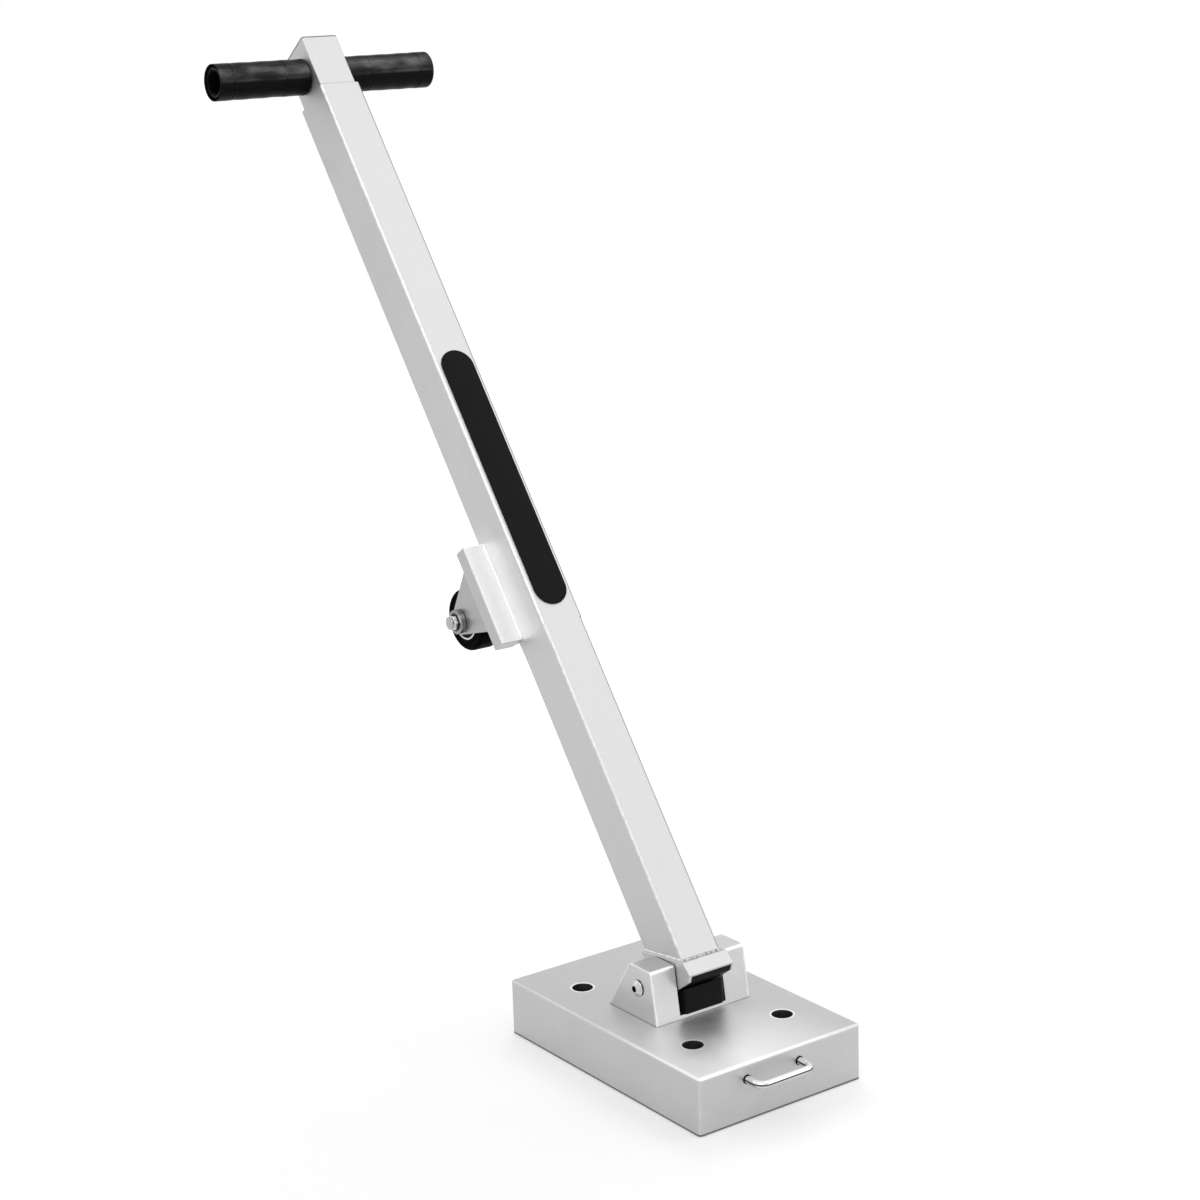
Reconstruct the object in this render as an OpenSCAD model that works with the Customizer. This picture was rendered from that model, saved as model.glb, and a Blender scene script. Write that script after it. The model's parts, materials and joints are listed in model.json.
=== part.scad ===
// Magnetic manhole cover lifter: a magnet base, a hinged lever with a fulcrum wheel and a telescoping T-handle.
// Millimetres. +Z is up, +X runs along the hinge pin, +Y points the way the lever leans.
// The origin is the middle of the base's underside.

/* [Base] */
// Width of the base, along the hinge pin
base_w = 206; // [192:1:230]
// Length of the base, the way the lever leans
base_l = 320; // [300:1:350]
// Height of the base
base_h = 60; // [56:1:66]
// Radius of the base's outer edges
base_round = 4; // [1:0.5:6]
// Thickness of the base above its pocket
base_top_t = 26; // [25:0.5:29]
// Thickness of the base's side walls
base_wall = 8; // [6:0.5:11]

/* [Base bolts] */
// Spacing of the bolts across the base
bolt_span_x = 115; // [100:1:130]
// Spacing of the bolts along the base
bolt_span_y = 186; // [160:1:220]
// Diameter of the counterbores in the top
bolt_hole_d = 22; // [21:0.5:26]
// Depth of the counterbores
bolt_hole_depth = 20; // [17:0.5:22]
// Thread diameter of the bolts
bolt_d = 12; // [8:1:14]
// Diameter of the bolt heads
bolt_head_d = 19; // [17:0.5:20]
// Height of the bolt heads
bolt_head_h = 10; // [8:0.5:12]

/* [Magnet pack] */
// Thickness of the steel yoke above the magnets
yoke_t = 12; // [9:0.5:14]
// Thickness of the wear plate under the magnets
wear_t = 5; // [4:0.5:7]
// Gap between magnets and round the outside of the pack
magnet_gap = 14; // [13.5:0.5:20]
// Rows of magnets across the base
magnet_columns = 2; // [1:1:3]
// Rows of magnets along the base
magnet_rows = 3; // [2:1:5]
// Thread diameter of the wear plate's screws
plate_screw_d = 6; // [4:0.5:6]
// Clearance of the plates in the pocket
pocket_gap = 0.3; // [0.1:0.05:0.5]

/* [Hinge bracket] */
// Width of each ear
ear_w = 30.5; // [26:0.5:35]
// Space between the ears
slot_w = 59; // [57:0.5:64]
// Height of the ears
ear_h = 56; // [53:0.5:62]
// Length of an ear where it stands on the base
ear_foot_l = 79.5; // [74:0.5:88]
// Length of an ear at its top
ear_top_l = 35; // [30:0.5:40]
// How far the ear's front face leans back from foot to top
ear_lean = 9; // [5:0.5:13]
// Front of the ears, ahead of the middle of the base
ear_ahead = 38; // [30:0.5:46]
// Radius of the ears' top edges
ear_round = 4; // [1:0.5:6]
// Thickness of the floor between the ears
floor_t = 4; // [3:0.5:6]

/* [Hinge] */
// Height of the hinge pin above the base
pivot_rise = 33; // [31:0.5:36]
// Hinge pin behind the front of the ears
pivot_in = 30; // [27:0.5:33]
// Diameter of the hinge pin
pin_d = 16; // [12:0.5:18]
// Diameter of the button heads on the pin's ends
button_d = 17.5; // [17:0.5:22]
// Height of the button heads
button_h = 5; // [4:0.5:7]
// Thickness of each friction washer
washer_t = 1; // [0.8:0.1:2.5]
// Diameter of the friction washers
washer_d = 32; // [28:0.5:33]
// Wall of the bushes in the foot
bush_wall = 2; // [1.5:0.25:3]

/* [Rubber buffer] */
// Width of the buffer
buffer_w = 48; // [40:0.5:54]
// Length of the buffer at its foot
buffer_l = 20; // [17:0.5:22]
// How far the buffer's foot stands out in front of the ears
buffer_out = 2.5; // [0:0.5:5]
// How far the buffer's front leans back
buffer_lean = 2.2; // [0:0.2:5]
// Gap from the buffer to the lever's foot
buffer_gap = 0.5; // [0.3:0.1:1]

/* [Pull handle] */
// Middle of the pull handle to the left of the base's middle
pull_aside = 10.5; // [0:0.5:30]
// Pull handle below the base's top
pull_down = 17; // [13:0.5:19]
// Spacing of its legs
pull_span = 66.5; // [55:0.5:90]
// How far its bar stands out from the base, to the bar's middle
pull_out = 21; // [17:0.5:30]
// Diameter of its rod
pull_rod_d = 8; // [7:0.5:10]
// Radius of its bends
pull_round = 9; // [7:0.5:12]
// Wall of the rings on its legs
pull_ring_wall = 0.7; // [0.5:0.1:2]
// Thickness of the rings on its legs
pull_ring_t = 0.8; // [0.5:0.1:2]

/* [Lever] */
// Lean of the lever from upright
lever_tilt = 36.25; // [33:0.25:39]
// Middle of the tube ahead of the hinge pin
lever_shift = 11.5; // [10:0.25:12]
// Width of the upper tube
tube_w = 51; // [49.5:0.5:53]
// Depth of the tubes from front to rear
tube_d = 58; // [56:0.5:60]
// Wall of the upper tube
tube_wall = 2.5; // [2:0.1:3]
// Corner radius of the tubes
tube_round = 4; // [3.5:0.25:6]
// Width of the lower tube
lower_w = 49; // [46:0.5:51]
// Wall of the lower tube
lower_wall = 3; // [2.5:0.1:3.4]
// Seam between the tubes, along the lever from the hinge pin
seam_at = 386; // [340:1:430]
// Length of the upper tube
upper_l = 675; // [640:1:760]
// Length of the joining sleeve inside each tube
sleeve_l = 70; // [62:1:100]

/* [Lever foot] */
// Radius of the foot round the hinge pin
foot_r = 17; // [16:0.25:17.5]
// Top of the front flange above the hinge pin, along the lever
flange_up = 3.5; // [0:0.5:8]
// Height of the front flange
flange_h = 15; // [12:0.5:18]
// Flange in front of the tube's front face at its top
flange_out = 3.5; // [2:0.5:6]
// How far the flange's front face leans out towards its lower edge
flange_lean = 3.5; // [1:0.5:6]
// How far the foot's underside starts behind the flange's lower edge
toe_in = 7.5; // [4:0.5:10]
// Height of the foot behind the tube, above the hinge pin
heel_up = 38; // [30:0.5:46]

/* [Front pad] */
// Width of the pad
pad_w = 39.5; // [30:0.5:42]
// Length of the pad
pad_l = 308; // [200:1:400]
// Thickness of the pad
pad_t = 2.4; // [1.5:0.1:4]
// Lower end of the pad above the seam
pad_up = 19; // [5:1:60]

/* [Wheel bracket] */
// Width of the saddle plate
saddle_w = 104; // [90:1:120]
// Length of the saddle plate along the lever
saddle_l = 115; // [108:1:140]
// Thickness of the saddle plate
saddle_t = 16.5; // [15:0.5:20]
// How far the saddle wraps forward along the tube's sides
saddle_wrap = 11.5; // [8:0.5:12]
// Lower end of the saddle above the seam
saddle_up = 3; // [1:0.5:10]
// Width across the outer faces of the fork cheeks
fork_w = 40; // [38.5:0.5:48]
// Thickness of each cheek
cheek_t = 4.5; // [3.5:0.25:5.5]
// Radius of the cheek's tip round the axle
cheek_tip_r = 15; // [14.5:0.5:20]
// Axle behind the tube's rear face
axle_out = 97.5; // [86:0.5:106]
// Axle above the lower end of the saddle
axle_up = 72; // [64:0.5:78]

/* [Wheel] */
// Diameter of the wheel
wheel_d = 69; // [60:1:76]
// Width of the tyre
tyre_w = 28; // [20:0.5:29.5]
// Thickness of the tyre
tyre_t = 12.5; // [10:0.5:15]
// Diameter of the axle
axle_d = 10; // [8:0.5:12]
// Diameter of the bearings
bearing_d = 19; // [18:0.5:23]
// Width of each bearing
bearing_w = 5; // [4:0.5:8]
// Thickness of the washers beside the hub
hub_washer_t = 1.2; // [0.8:0.1:2]
// Diameter of the collars outside the cheeks
axle_collar_d = 27; // [24:0.5:30]
// Length of the collars outside the cheeks
axle_collar_l = 6.5; // [3:0.5:8]

/* [Handle] */
// Clearance of the handle tube in the upper tube
slide_gap = 0.4; // [0.3:0.05:0.6]
// Wall of the handle tube
handle_wall = 2.5; // [2:0.1:3]
// Length of the handle tube
handle_l = 523; // [480:1:560]
// Handle tube above the rim of the upper tube, when pushed in
handle_up = 65.5; // [58:0.5:80]
// Crossbar above the rim of the upper tube, when pushed in
bar_up = 29.5; // [27:0.5:32]
// Length of the crossbar with its grips
bar_l = 276; // [240:1:340]
// Diameter of the crossbar
bar_d = 34; // [30:0.5:36]
// Wall of the crossbar
bar_wall = 2.5; // [2:0.1:4]
// Diameter of the grips
grip_d = 41; // [39.5:0.5:46]

/* [Hidden] */

$fn = 72;
// Facets of a rounded corner in an outline
corner_steps = 6;
// How far a cut runs past the face it opens
overrun = 1;
// Radial clearance of a screw or a pressed piece in its hole
thread_gap = 0.05;
// Radial clearance of a turning fit
running_gap = 0.05;
// Clearance between faces that slide past each other
side_gap = 0.12;
// Circle drawn with six sides, for sockets and nuts
hex_sides = 6;
// Diameter over a hexagon's corners, as a share of the size over its flats
hex_corner_share = 1 / cos(30);
// Size over the flats of a head's socket, as a share of the screw's diameter
socket_share = 0.75;

// Base and magnet pack
pocket_w = base_w - 2 * base_wall;
pocket_l = base_l - 2 * base_wall;
pocket_h = base_h - base_top_t;
yoke_z = pocket_h - yoke_t;
magnet_w = (pocket_w - (magnet_columns + 1) * magnet_gap) / magnet_columns;
magnet_l = (pocket_l - (magnet_rows + 1) * magnet_gap) / magnet_rows;
plate_head_d = 2 * plate_screw_d;
plate_head_h = plate_screw_d / 2;
bolt_spots = [for (sx = [-1, 1], sy = [-1, 1]) [sx * bolt_span_x / 2, sy * bolt_span_y / 2]];
plate_spots = [
    for (i = [0:magnet_columns], j = [1:magnet_rows - 1])
        [i * (magnet_w + magnet_gap) - (pocket_w - magnet_gap) / 2,
         j * (magnet_l + magnet_gap) - (pocket_l - magnet_gap) / 2]
];

// Hinge bracket and hinge
ear_front = -ear_ahead;
ear_outer = slot_w / 2 + ear_w;
pivot_y = ear_front + pivot_in;
pivot_z = base_h + pivot_rise;
bracket_screw_d = 10;
bracket_head_d = 16;
bracket_head_h = 10;
bracket_screw_in = 15;
bracket_screw_shares = [0.2, 0.7];
bracket_spots = [
    for (sx = [-1, 1], share = bracket_screw_shares)
        [sx * (slot_w + ear_w) / 2, ear_front + share * ear_foot_l]
];
pin_recess = 1;
button_screw_d = 8;
button_screw_l = 20;
foot_w = slot_w - 2 * washer_t - 4 * side_gap;
buffer_round = 1.5;
bush_l = foot_w / 3;

// Pull handle
pull_stud_d = 6;
pull_stud_l = 12;
pull_up = base_h - pull_down;
pull_spots = [-pull_aside - pull_span / 2, -pull_aside + pull_span / 2];

// Lever, along the lever from the hinge pin and rearwards from it
tube_front = -lever_shift - tube_d / 2;
tube_rear = tube_d / 2 - lever_shift;
rim_at = seam_at + upper_l;
sleeve_gap = 0.15;
sleeve_bore_d = 28;
toe_y = tube_front - flange_out - flange_lean + toe_in;
foot_points = [
    [tube_front - flange_out, flange_up],
    [tube_front - flange_out - flange_lean, flange_up - flange_h],
    [toe_y, -foot_r],
    [0, -foot_r],
    [foot_r, 0],
    [tube_rear, heel_up]
];
foot_round = 1.5;
toe_round = 1.2;
foot_rounds = [foot_round, toe_round, toe_round, 0, 0, foot_round];
foot_slope = (heel_up - flange_up) / (tube_rear - tube_front + flange_out);
lower_foot_at = flange_up + foot_slope * flange_out;

// Wheel bracket and wheel
saddle_at = seam_at + saddle_up;
saddle_web = saddle_t - saddle_wrap;
saddle_rear = tube_rear + saddle_web;
notch_side = 3.5;
notch_h = 8;
low_head_d = 13;
low_head_h = 4;
low_screw_d = 8;
low_screw_in = 14;
cheek_gap = 0.5;
saddle_screw_aside = fork_w / 2 - cheek_t - cheek_gap - low_head_d / 2;
saddle_screw_shares = [0.35, 0.8];
sleeve_screw_shares = [0.35, 0.8];
axle_y = tube_rear + axle_out;
axle_z = saddle_at + axle_up;
axle_spot = [axle_y, axle_z];
cheek_foot_share = 0.17;
cheek_top_share = 0.975;
cheek_shoulder_share = 0.51;
cheek_low = [saddle_rear, saddle_at + cheek_foot_share * saddle_l];
cheek_high = [saddle_rear, saddle_at + cheek_top_share * saddle_l];
cheek_shoulder = [saddle_rear + cheek_shoulder_share * (axle_out - saddle_web), cheek_high[1]];
hub_w = fork_w - 2 * cheek_t - 2 * hub_washer_t - 4 * side_gap;
hub_r = wheel_d / 2 - tyre_t;
hub_boss_wall = 2.5;
hub_boss_r = bearing_d / 2 + hub_boss_wall;
hub_bore_gap = 2;
hub_bore_d = axle_d + 2 * hub_bore_gap;
hub_web_share = 0.35;
rim_lip_share = 0.15;
tyre_shoulder_share = 0.35;
axle_head_d = 15;
axle_head_h = 5;
axle_cap_d = 14.5;
axle_cap_h = 3;
axle_end = 3;
hub_washer_rim = 4;
hub_washer_d = axle_d + 2 * hub_washer_rim;

// Handle
handle_w = tube_w - 2 * tube_wall - 2 * slide_gap;
handle_d = tube_d - 2 * tube_wall - 2 * slide_gap;
handle_round = 2.5;
handle_top = rim_at + handle_up;
handle_foot = handle_top - handle_l;
bar_at = rim_at + bar_up;
plug_h = 8;
plug_in = 20;
plug_gap = slide_gap / 2;
cap_t = 3;
cap_skirt_h = 12;
cap_skirt_t = 3;
grip_round = 3;
end_flange_t = 2;
end_plug_l = 14;
end_dish_share = 0.88;
bar_screw_d = 6;
bar_screw_l = 16;
bar_head_d = 11;
bar_head_h = 3.3;
lock_boss_d = 26;
lock_boss_h = 9;
lock_below = 40;
lock_d = 10;
lock_socket_share = 0.6;

aluminium_color = [0.80, 0.81, 0.82];
steel_color = [0.62, 0.63, 0.65];
stainless_color = [0.74, 0.75, 0.76];
magnet_color = [0.35, 0.36, 0.38];
bronze_color = [0.70, 0.52, 0.28];
rubber_color = [0.10, 0.10, 0.11];
nylon_color = [0.16, 0.16, 0.17];

// Shapes that repeat

function unit(v) = v / norm(v);
function swing(a) = a > 180 ? a - 360 : a < -180 ? a + 360 : a;

// Corner p between neighbours a and b, rounded by radius r
function corner(p, a, b, r) =
    let (to_a = unit(a - p),
         to_b = unit(b - p),
         half = acos(to_a * to_b) / 2,
         middle = p + unit(to_a + to_b) * r / sin(half),
         first = p + to_a * r / tan(half) - middle,
         last = p + to_b * r / tan(half) - middle,
         start = atan2(first[1], first[0]),
         sweep = swing(atan2(last[1], last[0]) - start))
    [for (i = [0:corner_steps]) let (a = start + sweep * i / corner_steps) middle + r * [cos(a), sin(a)]];

// Outline with each corner rounded by its own radius, or left sharp at zero
function softened(points, radii) =
    let (n = len(points))
    [for (i = [0:n - 1])
        each radii[i] > 0
            ? corner(points[i], points[(i + n - 1) % n], points[(i + 1) % n], radii[i])
            : [points[i]]];

// Point where the line from p touches the circle of radius r round c, on its left (1) or right (-1)
function touch(p, c, r, side) =
    let (d = c - p, l = norm(d), a = atan2(d[1], d[0]) + side * asin(r / l))
    p + sqrt(l * l - r * r) * [cos(a), sin(a)];

// Height of the foot's underside, at rest, less the buffer's gap, over place y
function buffer_top(y) =
    pivot_z - (foot_r + buffer_gap + (y - pivot_y) * sin(lever_tilt)) / cos(lever_tilt);

// Rectangle round the origin with round corners
module rounded_rect(w, l, r) {
    square([w - 2 * r, l], center = true);
    square([w, l - 2 * r], center = true);
    for (sx = [-1, 1], sy = [-1, 1])
        translate([sx * (w / 2 - r), sy * (l / 2 - r)]) circle(r);
}

// Rectangle standing on the first axis with round upper corners
module top_rounded(w, h, r) {
    translate([-w / 2, 0]) square([w, h - r]);
    translate([r - w / 2, 0]) square([w - 2 * r, h]);
    for (sx = [-1, 1])
        translate([sx * (w / 2 - r), h - r]) circle(r);
}

// Flat (Y, Z) outline made solid along X, about the middle plane
module across(w) {
    rotate([90, 0, 90]) linear_extrude(w, center = true) children();
}

// Flat (X, Z) outline made solid along Y, about the middle plane
module along(l) {
    rotate([90, 0, 0]) linear_extrude(l, center = true) children();
}

// Turned piece with its axis along X, from a profile of (radius, place)
module turned() {
    rotate([0, 90, 0]) rotate_extrude() children();
}

// Round bar along X, about the middle plane
module rod(d, l) {
    rotate([0, 90, 0]) cylinder(d = d, h = l, center = true);
}

// Six-sided bar along Z, by its size over the flats
module hex_bar(flats, h) {
    cylinder(d = flats * hex_corner_share, h = h, $fn = hex_sides);
}

// Ring along X, about the middle plane
module ring(outer_d, inner_d, l) {
    difference() {
        rod(outer_d, l);
        rod(inner_d, l + 2 * overrun);
    }
}

// The same piece at both ends of the X axis, drawn for the right-hand one
module both_ends() {
    children();
    mirror([1, 0, 0]) children();
}

// Everything on the lever, which leans about the hinge pin
module on_lever() {
    translate([0, pivot_y, pivot_z]) rotate([-lever_tilt, 0, 0]) children();
}

// Length of box tube on the lever's middle line
module box_tube(w, d, wall, r, low, high) {
    translate([0, -lever_shift, low])
        linear_extrude(high - low)
            difference() {
                rounded_rect(w, d, r);
                rounded_rect(w - 2 * wall, d - 2 * wall, max(r - wall, wall / 4));
            }
}

// Solid core on the lever's middle line
module box_core(w, d, r, low, high) {
    translate([0, -lever_shift, low])
        linear_extrude(high - low)
            rounded_rect(w, d, r);
}

// Low-head screw whose head stands on the face y, pointing forwards
module low_screw(spot, face_y, shank_l) {
    translate([spot[0], face_y, spot[1]])
        rotate([90, 0, 0])
            difference() {
                union() {
                    cylinder(d = low_screw_d, h = shank_l);
                    translate([0, 0, -low_head_h]) cylinder(d = low_head_d, h = low_head_h);
                }
                translate([0, 0, -low_head_h - overrun])
                    hex_bar(socket_share * low_screw_d, low_head_h / 2 + overrun);
            }
}

// Hole for a low-head screw, through every wall from the face forwards
module low_screw_hole(spot, face_y, shank_l) {
    translate([spot[0], face_y + overrun, spot[1]])
        rotate([90, 0, 0])
            cylinder(d = low_screw_d + 2 * thread_gap, h = shank_l + overrun);
}

// Wear plate's screw, or its hole when grown by a gap
module plate_screw(spot, gap) {
    translate([spot[0], spot[1], 0]) {
        cylinder(d1 = plate_head_d + 2 * gap, d2 = plate_screw_d + 2 * gap, h = plate_head_h);
        cylinder(d = plate_screw_d + 2 * gap, h = yoke_z + yoke_t / 2);
    }
}

// Base

module base_block() {
    intersection() {
        linear_extrude(base_h) rounded_rect(base_w, base_l, base_round);
        across(base_w) top_rounded(base_l, base_h, base_round);
        along(base_l) top_rounded(base_w, base_h, base_round);
    }
}

module base_housing() {
    color(aluminium_color)
        difference() {
            base_block();
            translate([-pocket_w / 2, -pocket_l / 2, -overrun])
                cube([pocket_w, pocket_l, pocket_h + overrun]);
            for (spot = bolt_spots)
                translate([spot[0], spot[1], 0]) {
                    translate([0, 0, base_h - bolt_hole_depth])
                        cylinder(d = bolt_hole_d, h = bolt_hole_depth + overrun);
                    cylinder(d = bolt_d + 2 * thread_gap, h = base_h);
                }
            for (spot = bracket_spots)
                translate([spot[0], spot[1], 0]) {
                    cylinder(d = bracket_head_d + 2 * thread_gap, h = pocket_h + bracket_head_h);
                    cylinder(d = bracket_screw_d + 2 * thread_gap, h = base_h + overrun);
                }
            for (x = pull_spots)
                translate([x, pull_stud_l - base_l / 2, pull_up])
                    rotate([90, 0, 0])
                        cylinder(d = pull_stud_d + 2 * thread_gap, h = pull_stud_l + overrun);
        }
}

module yoke_plate() {
    color(steel_color)
        difference() {
            translate([pocket_gap - pocket_w / 2, pocket_gap - pocket_l / 2, yoke_z])
                cube([pocket_w - 2 * pocket_gap, pocket_l - 2 * pocket_gap, yoke_t]);
            for (spot = bolt_spots)
                translate([spot[0], spot[1], yoke_z - overrun])
                    cylinder(d = bolt_d + 2 * thread_gap, h = yoke_t + 2 * overrun);
            for (spot = plate_spots)
                plate_screw(spot, thread_gap);
        }
}

module magnets() {
    color(magnet_color)
        for (i = [0:magnet_columns - 1], j = [0:magnet_rows - 1])
            translate([i * (magnet_w + magnet_gap) + magnet_gap - pocket_w / 2,
                       j * (magnet_l + magnet_gap) + magnet_gap - pocket_l / 2,
                       wear_t])
                cube([magnet_w, magnet_l, yoke_z - wear_t]);
}

module wear_plate() {
    color(stainless_color)
        difference() {
            translate([pocket_gap - pocket_w / 2, pocket_gap - pocket_l / 2, 0])
                cube([pocket_w - 2 * pocket_gap, pocket_l - 2 * pocket_gap, wear_t]);
            for (spot = plate_spots)
                plate_screw(spot, thread_gap);
        }
}

module plate_screws() {
    color(steel_color)
        for (spot = plate_spots)
            plate_screw(spot, 0);
}

module base_bolts() {
    seat_z = base_h - bolt_hole_depth;
    color(rubber_color)
        for (spot = bolt_spots)
            translate([spot[0], spot[1], yoke_z])
                difference() {
                    union() {
                        cylinder(d = bolt_d, h = seat_z - yoke_z);
                        translate([0, 0, seat_z - yoke_z]) cylinder(d = bolt_head_d, h = bolt_head_h);
                    }
                    translate([0, 0, seat_z - yoke_z + bolt_head_h / 2])
                        hex_bar(socket_share * bolt_d, bolt_head_h);
                }
}

// Hinge bracket and hinge

module ear_outline() {
    front_top = ear_front + ear_lean;
    polygon(softened(
        [[ear_front, 0], [ear_front + ear_foot_l, 0], [front_top + ear_top_l, ear_h], [front_top, ear_h]],
        [0, 0, ear_round, ear_round]));
}

module hinge_bracket() {
    color(aluminium_color)
        difference() {
            translate([0, 0, base_h]) {
                for (sx = [-1, 1])
                    translate([sx * (slot_w + ear_w) / 2, 0, 0]) across(ear_w) ear_outline();
                across(slot_w + ear_w)
                    intersection() {
                        ear_outline();
                        translate([ear_front, 0]) square([ear_foot_l, floor_t]);
                    }
            }
            translate([0, pivot_y, pivot_z]) rod(pin_d + 2 * thread_gap, 2 * ear_outer + 2 * overrun);
            for (spot = bracket_spots)
                translate([spot[0], spot[1], base_h - overrun])
                    cylinder(d = bracket_screw_d + 2 * thread_gap, h = bracket_screw_in + 2 * overrun);
        }
}

module bracket_screws() {
    color(steel_color)
        for (spot = bracket_spots)
            translate([spot[0], spot[1], pocket_h]) {
                cylinder(d = bracket_head_d, h = bracket_head_h);
                cylinder(d = bracket_screw_d, h = base_top_t + bracket_screw_in);
            }
}

module buffer_block() {
    front = ear_front - buffer_out;
    front_top = front + buffer_lean;
    rear = front + buffer_l;
    floor_z = base_h + floor_t;
    color(rubber_color)
        across(buffer_w)
            polygon(softened(
                [[front, floor_z],
                 [rear, floor_z],
                 [rear, buffer_top(rear)],
                 [front_top, buffer_top(front_top)]],
                [0, 0, buffer_round, buffer_round]));
}

module pivot_pin() {
    pin_l = 2 * (ear_outer - pin_recess);
    color(steel_color)
        translate([0, pivot_y, pivot_z])
            difference() {
                rod(pin_d, pin_l);
                both_ends()
                    translate([ear_outer - button_screw_l / 2, 0, 0])
                        rod(button_screw_d + 2 * thread_gap, button_screw_l + 2 * overrun);
            }
}

// Button head seen from its flat, as a profile of (radius, height)
module button_profile() {
    crown_share = 0.55;
    brim_share = 0.3;
    r = button_d / 2;
    polygon(softened(
        [[0, 0], [r, 0], [r, button_h * brim_share], [r * crown_share, button_h], [0, button_h]],
        [0, 0, button_h * brim_share / 2, button_h * brim_share, 0]));
}

module pivot_screws() {
    color(stainless_color)
        translate([0, pivot_y, pivot_z])
            both_ends()
                translate([ear_outer, 0, 0])
                    rotate([0, 90, 0])
                        difference() {
                            union() {
                                rotate_extrude() button_profile();
                                translate([0, 0, -button_screw_l])
                                    cylinder(d = button_screw_d, h = button_screw_l + overrun);
                            }
                            translate([0, 0, button_h / 2]) hex_bar(socket_share * button_screw_d, button_h);
                        }
}

module friction_washers() {
    color(bronze_color)
        translate([0, pivot_y, pivot_z])
            both_ends()
                translate([slot_w / 2 - side_gap - washer_t / 2, 0, 0])
                    ring(washer_d, pin_d + 4 * running_gap, washer_t);
}

// Pull handle

module pull_handle() {
    bar_l = pull_span - 2 * pull_round;
    leg_l = pull_out - pull_round;
    color(stainless_color)
        translate([-pull_aside, -base_l / 2, pull_up])
            both_ends() {
                translate([pull_span / 2, 0, 0])
                    rotate([90, 0, 0]) {
                        cylinder(d = pull_rod_d, h = leg_l);
                        translate([0, 0, -pull_stud_l]) cylinder(d = pull_stud_d, h = pull_stud_l + overrun);
                    }
                translate([bar_l / 2, -leg_l, 0])
                    rotate([0, 0, -90])
                        rotate_extrude(angle = 90)
                            translate([pull_round, 0]) circle(d = pull_rod_d);
                translate([bar_l / 4, -pull_out, 0]) rod(pull_rod_d, bar_l / 2);
            }
}

module pull_rings() {
    hole_d = pull_rod_d + 2 * thread_gap;
    color(rubber_color)
        for (x = pull_spots)
            translate([x, -base_l / 2, pull_up])
                rotate([90, 0, 0])
                    difference() {
                        cylinder(d = hole_d + 2 * pull_ring_wall, h = pull_ring_t);
                        translate([0, 0, -overrun]) cylinder(d = hole_d, h = pull_ring_t + 2 * overrun);
                    }
}

// Lever

module lever_foot() {
    color(aluminium_color)
        on_lever()
            difference() {
                union() {
                    across(foot_w) polygon(softened(foot_points, foot_rounds));
                    rod(2 * foot_r, foot_w);
                }
                rod(pin_d + 2 * bush_wall + 2 * thread_gap, foot_w + 2 * overrun);
            }
}

module foot_bushes() {
    color(bronze_color)
        on_lever()
            both_ends()
                translate([(foot_w - bush_l) / 2, 0, 0])
                    ring(pin_d + 2 * bush_wall, pin_d + 2 * running_gap, bush_l);
}

// Everything under the foot's sloping top, where the lower tube is cut away
module foot_side() {
    reach = tube_d;
    across(tube_w + 2 * overrun)
        polygon([
            [tube_front - reach, lower_foot_at - foot_slope * reach],
            [tube_rear + reach, heel_up + foot_slope * reach],
            [tube_rear + reach, -reach],
            [tube_front - reach, -reach]
        ]);
}

module lower_tube() {
    color(aluminium_color)
        on_lever()
            difference() {
                box_tube(lower_w, tube_d, lower_wall, tube_round, 0, seam_at);
                foot_side();
                sleeve_screw_holes();
            }
}

module upper_tube() {
    color(aluminium_color)
        on_lever()
            difference() {
                box_tube(tube_w, tube_d, tube_wall, tube_round, seam_at, rim_at);
                saddle_screw_holes();
                translate([0, tube_rear + overrun, rim_at - lock_below])
                    rotate([90, 0, 0])
                        cylinder(d = lock_d + 2 * thread_gap, h = tube_wall + 2 * overrun);
            }
}

module joint_sleeve() {
    inner_d = tube_d - 2 * lower_wall - 2 * sleeve_gap;
    color(aluminium_color)
        on_lever()
            difference() {
                union() {
                    box_core(lower_w - 2 * lower_wall - 2 * sleeve_gap, inner_d, tube_round / 2,
                             seam_at - sleeve_l, seam_at);
                    box_core(tube_w - 2 * tube_wall - 2 * sleeve_gap, tube_d - 2 * tube_wall - 2 * sleeve_gap,
                             tube_round / 2, seam_at, seam_at + sleeve_l);
                }
                translate([0, -lever_shift, seam_at - sleeve_l - overrun])
                    cylinder(d = sleeve_bore_d, h = 2 * sleeve_l + 2 * overrun);
                sleeve_screw_holes();
                saddle_screw_holes();
            }
}

sleeve_screw_spots = [for (share = sleeve_screw_shares) [0, seam_at - share * sleeve_l]];
saddle_screw_spots = [
    for (sx = [-1, 1], share = saddle_screw_shares) [sx * saddle_screw_aside, seam_at + share * sleeve_l]
];

module sleeve_screw_holes() {
    for (spot = sleeve_screw_spots)
        low_screw_hole(spot, tube_rear, low_screw_in + overrun);
}

module saddle_screw_holes() {
    for (spot = saddle_screw_spots)
        low_screw_hole(spot, saddle_rear, low_screw_in + saddle_web + overrun);
}

module sleeve_screws() {
    color(steel_color)
        on_lever()
            for (spot = sleeve_screw_spots)
                low_screw(spot, tube_rear, low_screw_in);
}

module saddle_screws() {
    color(steel_color)
        on_lever()
            for (spot = saddle_screw_spots)
                low_screw(spot, saddle_rear, low_screw_in + saddle_web);
}

module front_pad() {
    color(rubber_color)
        on_lever()
            translate([0, tube_front, seam_at + pad_up + pad_w / 2])
                rotate([90, 0, 0])
                    linear_extrude(pad_t) {
                        straight = pad_l - pad_w;
                        translate([-pad_w / 2, 0]) square([pad_w, straight]);
                        for (y = [0, straight])
                            translate([0, y]) circle(d = pad_w);
                    }
}

// Wheel bracket

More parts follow.
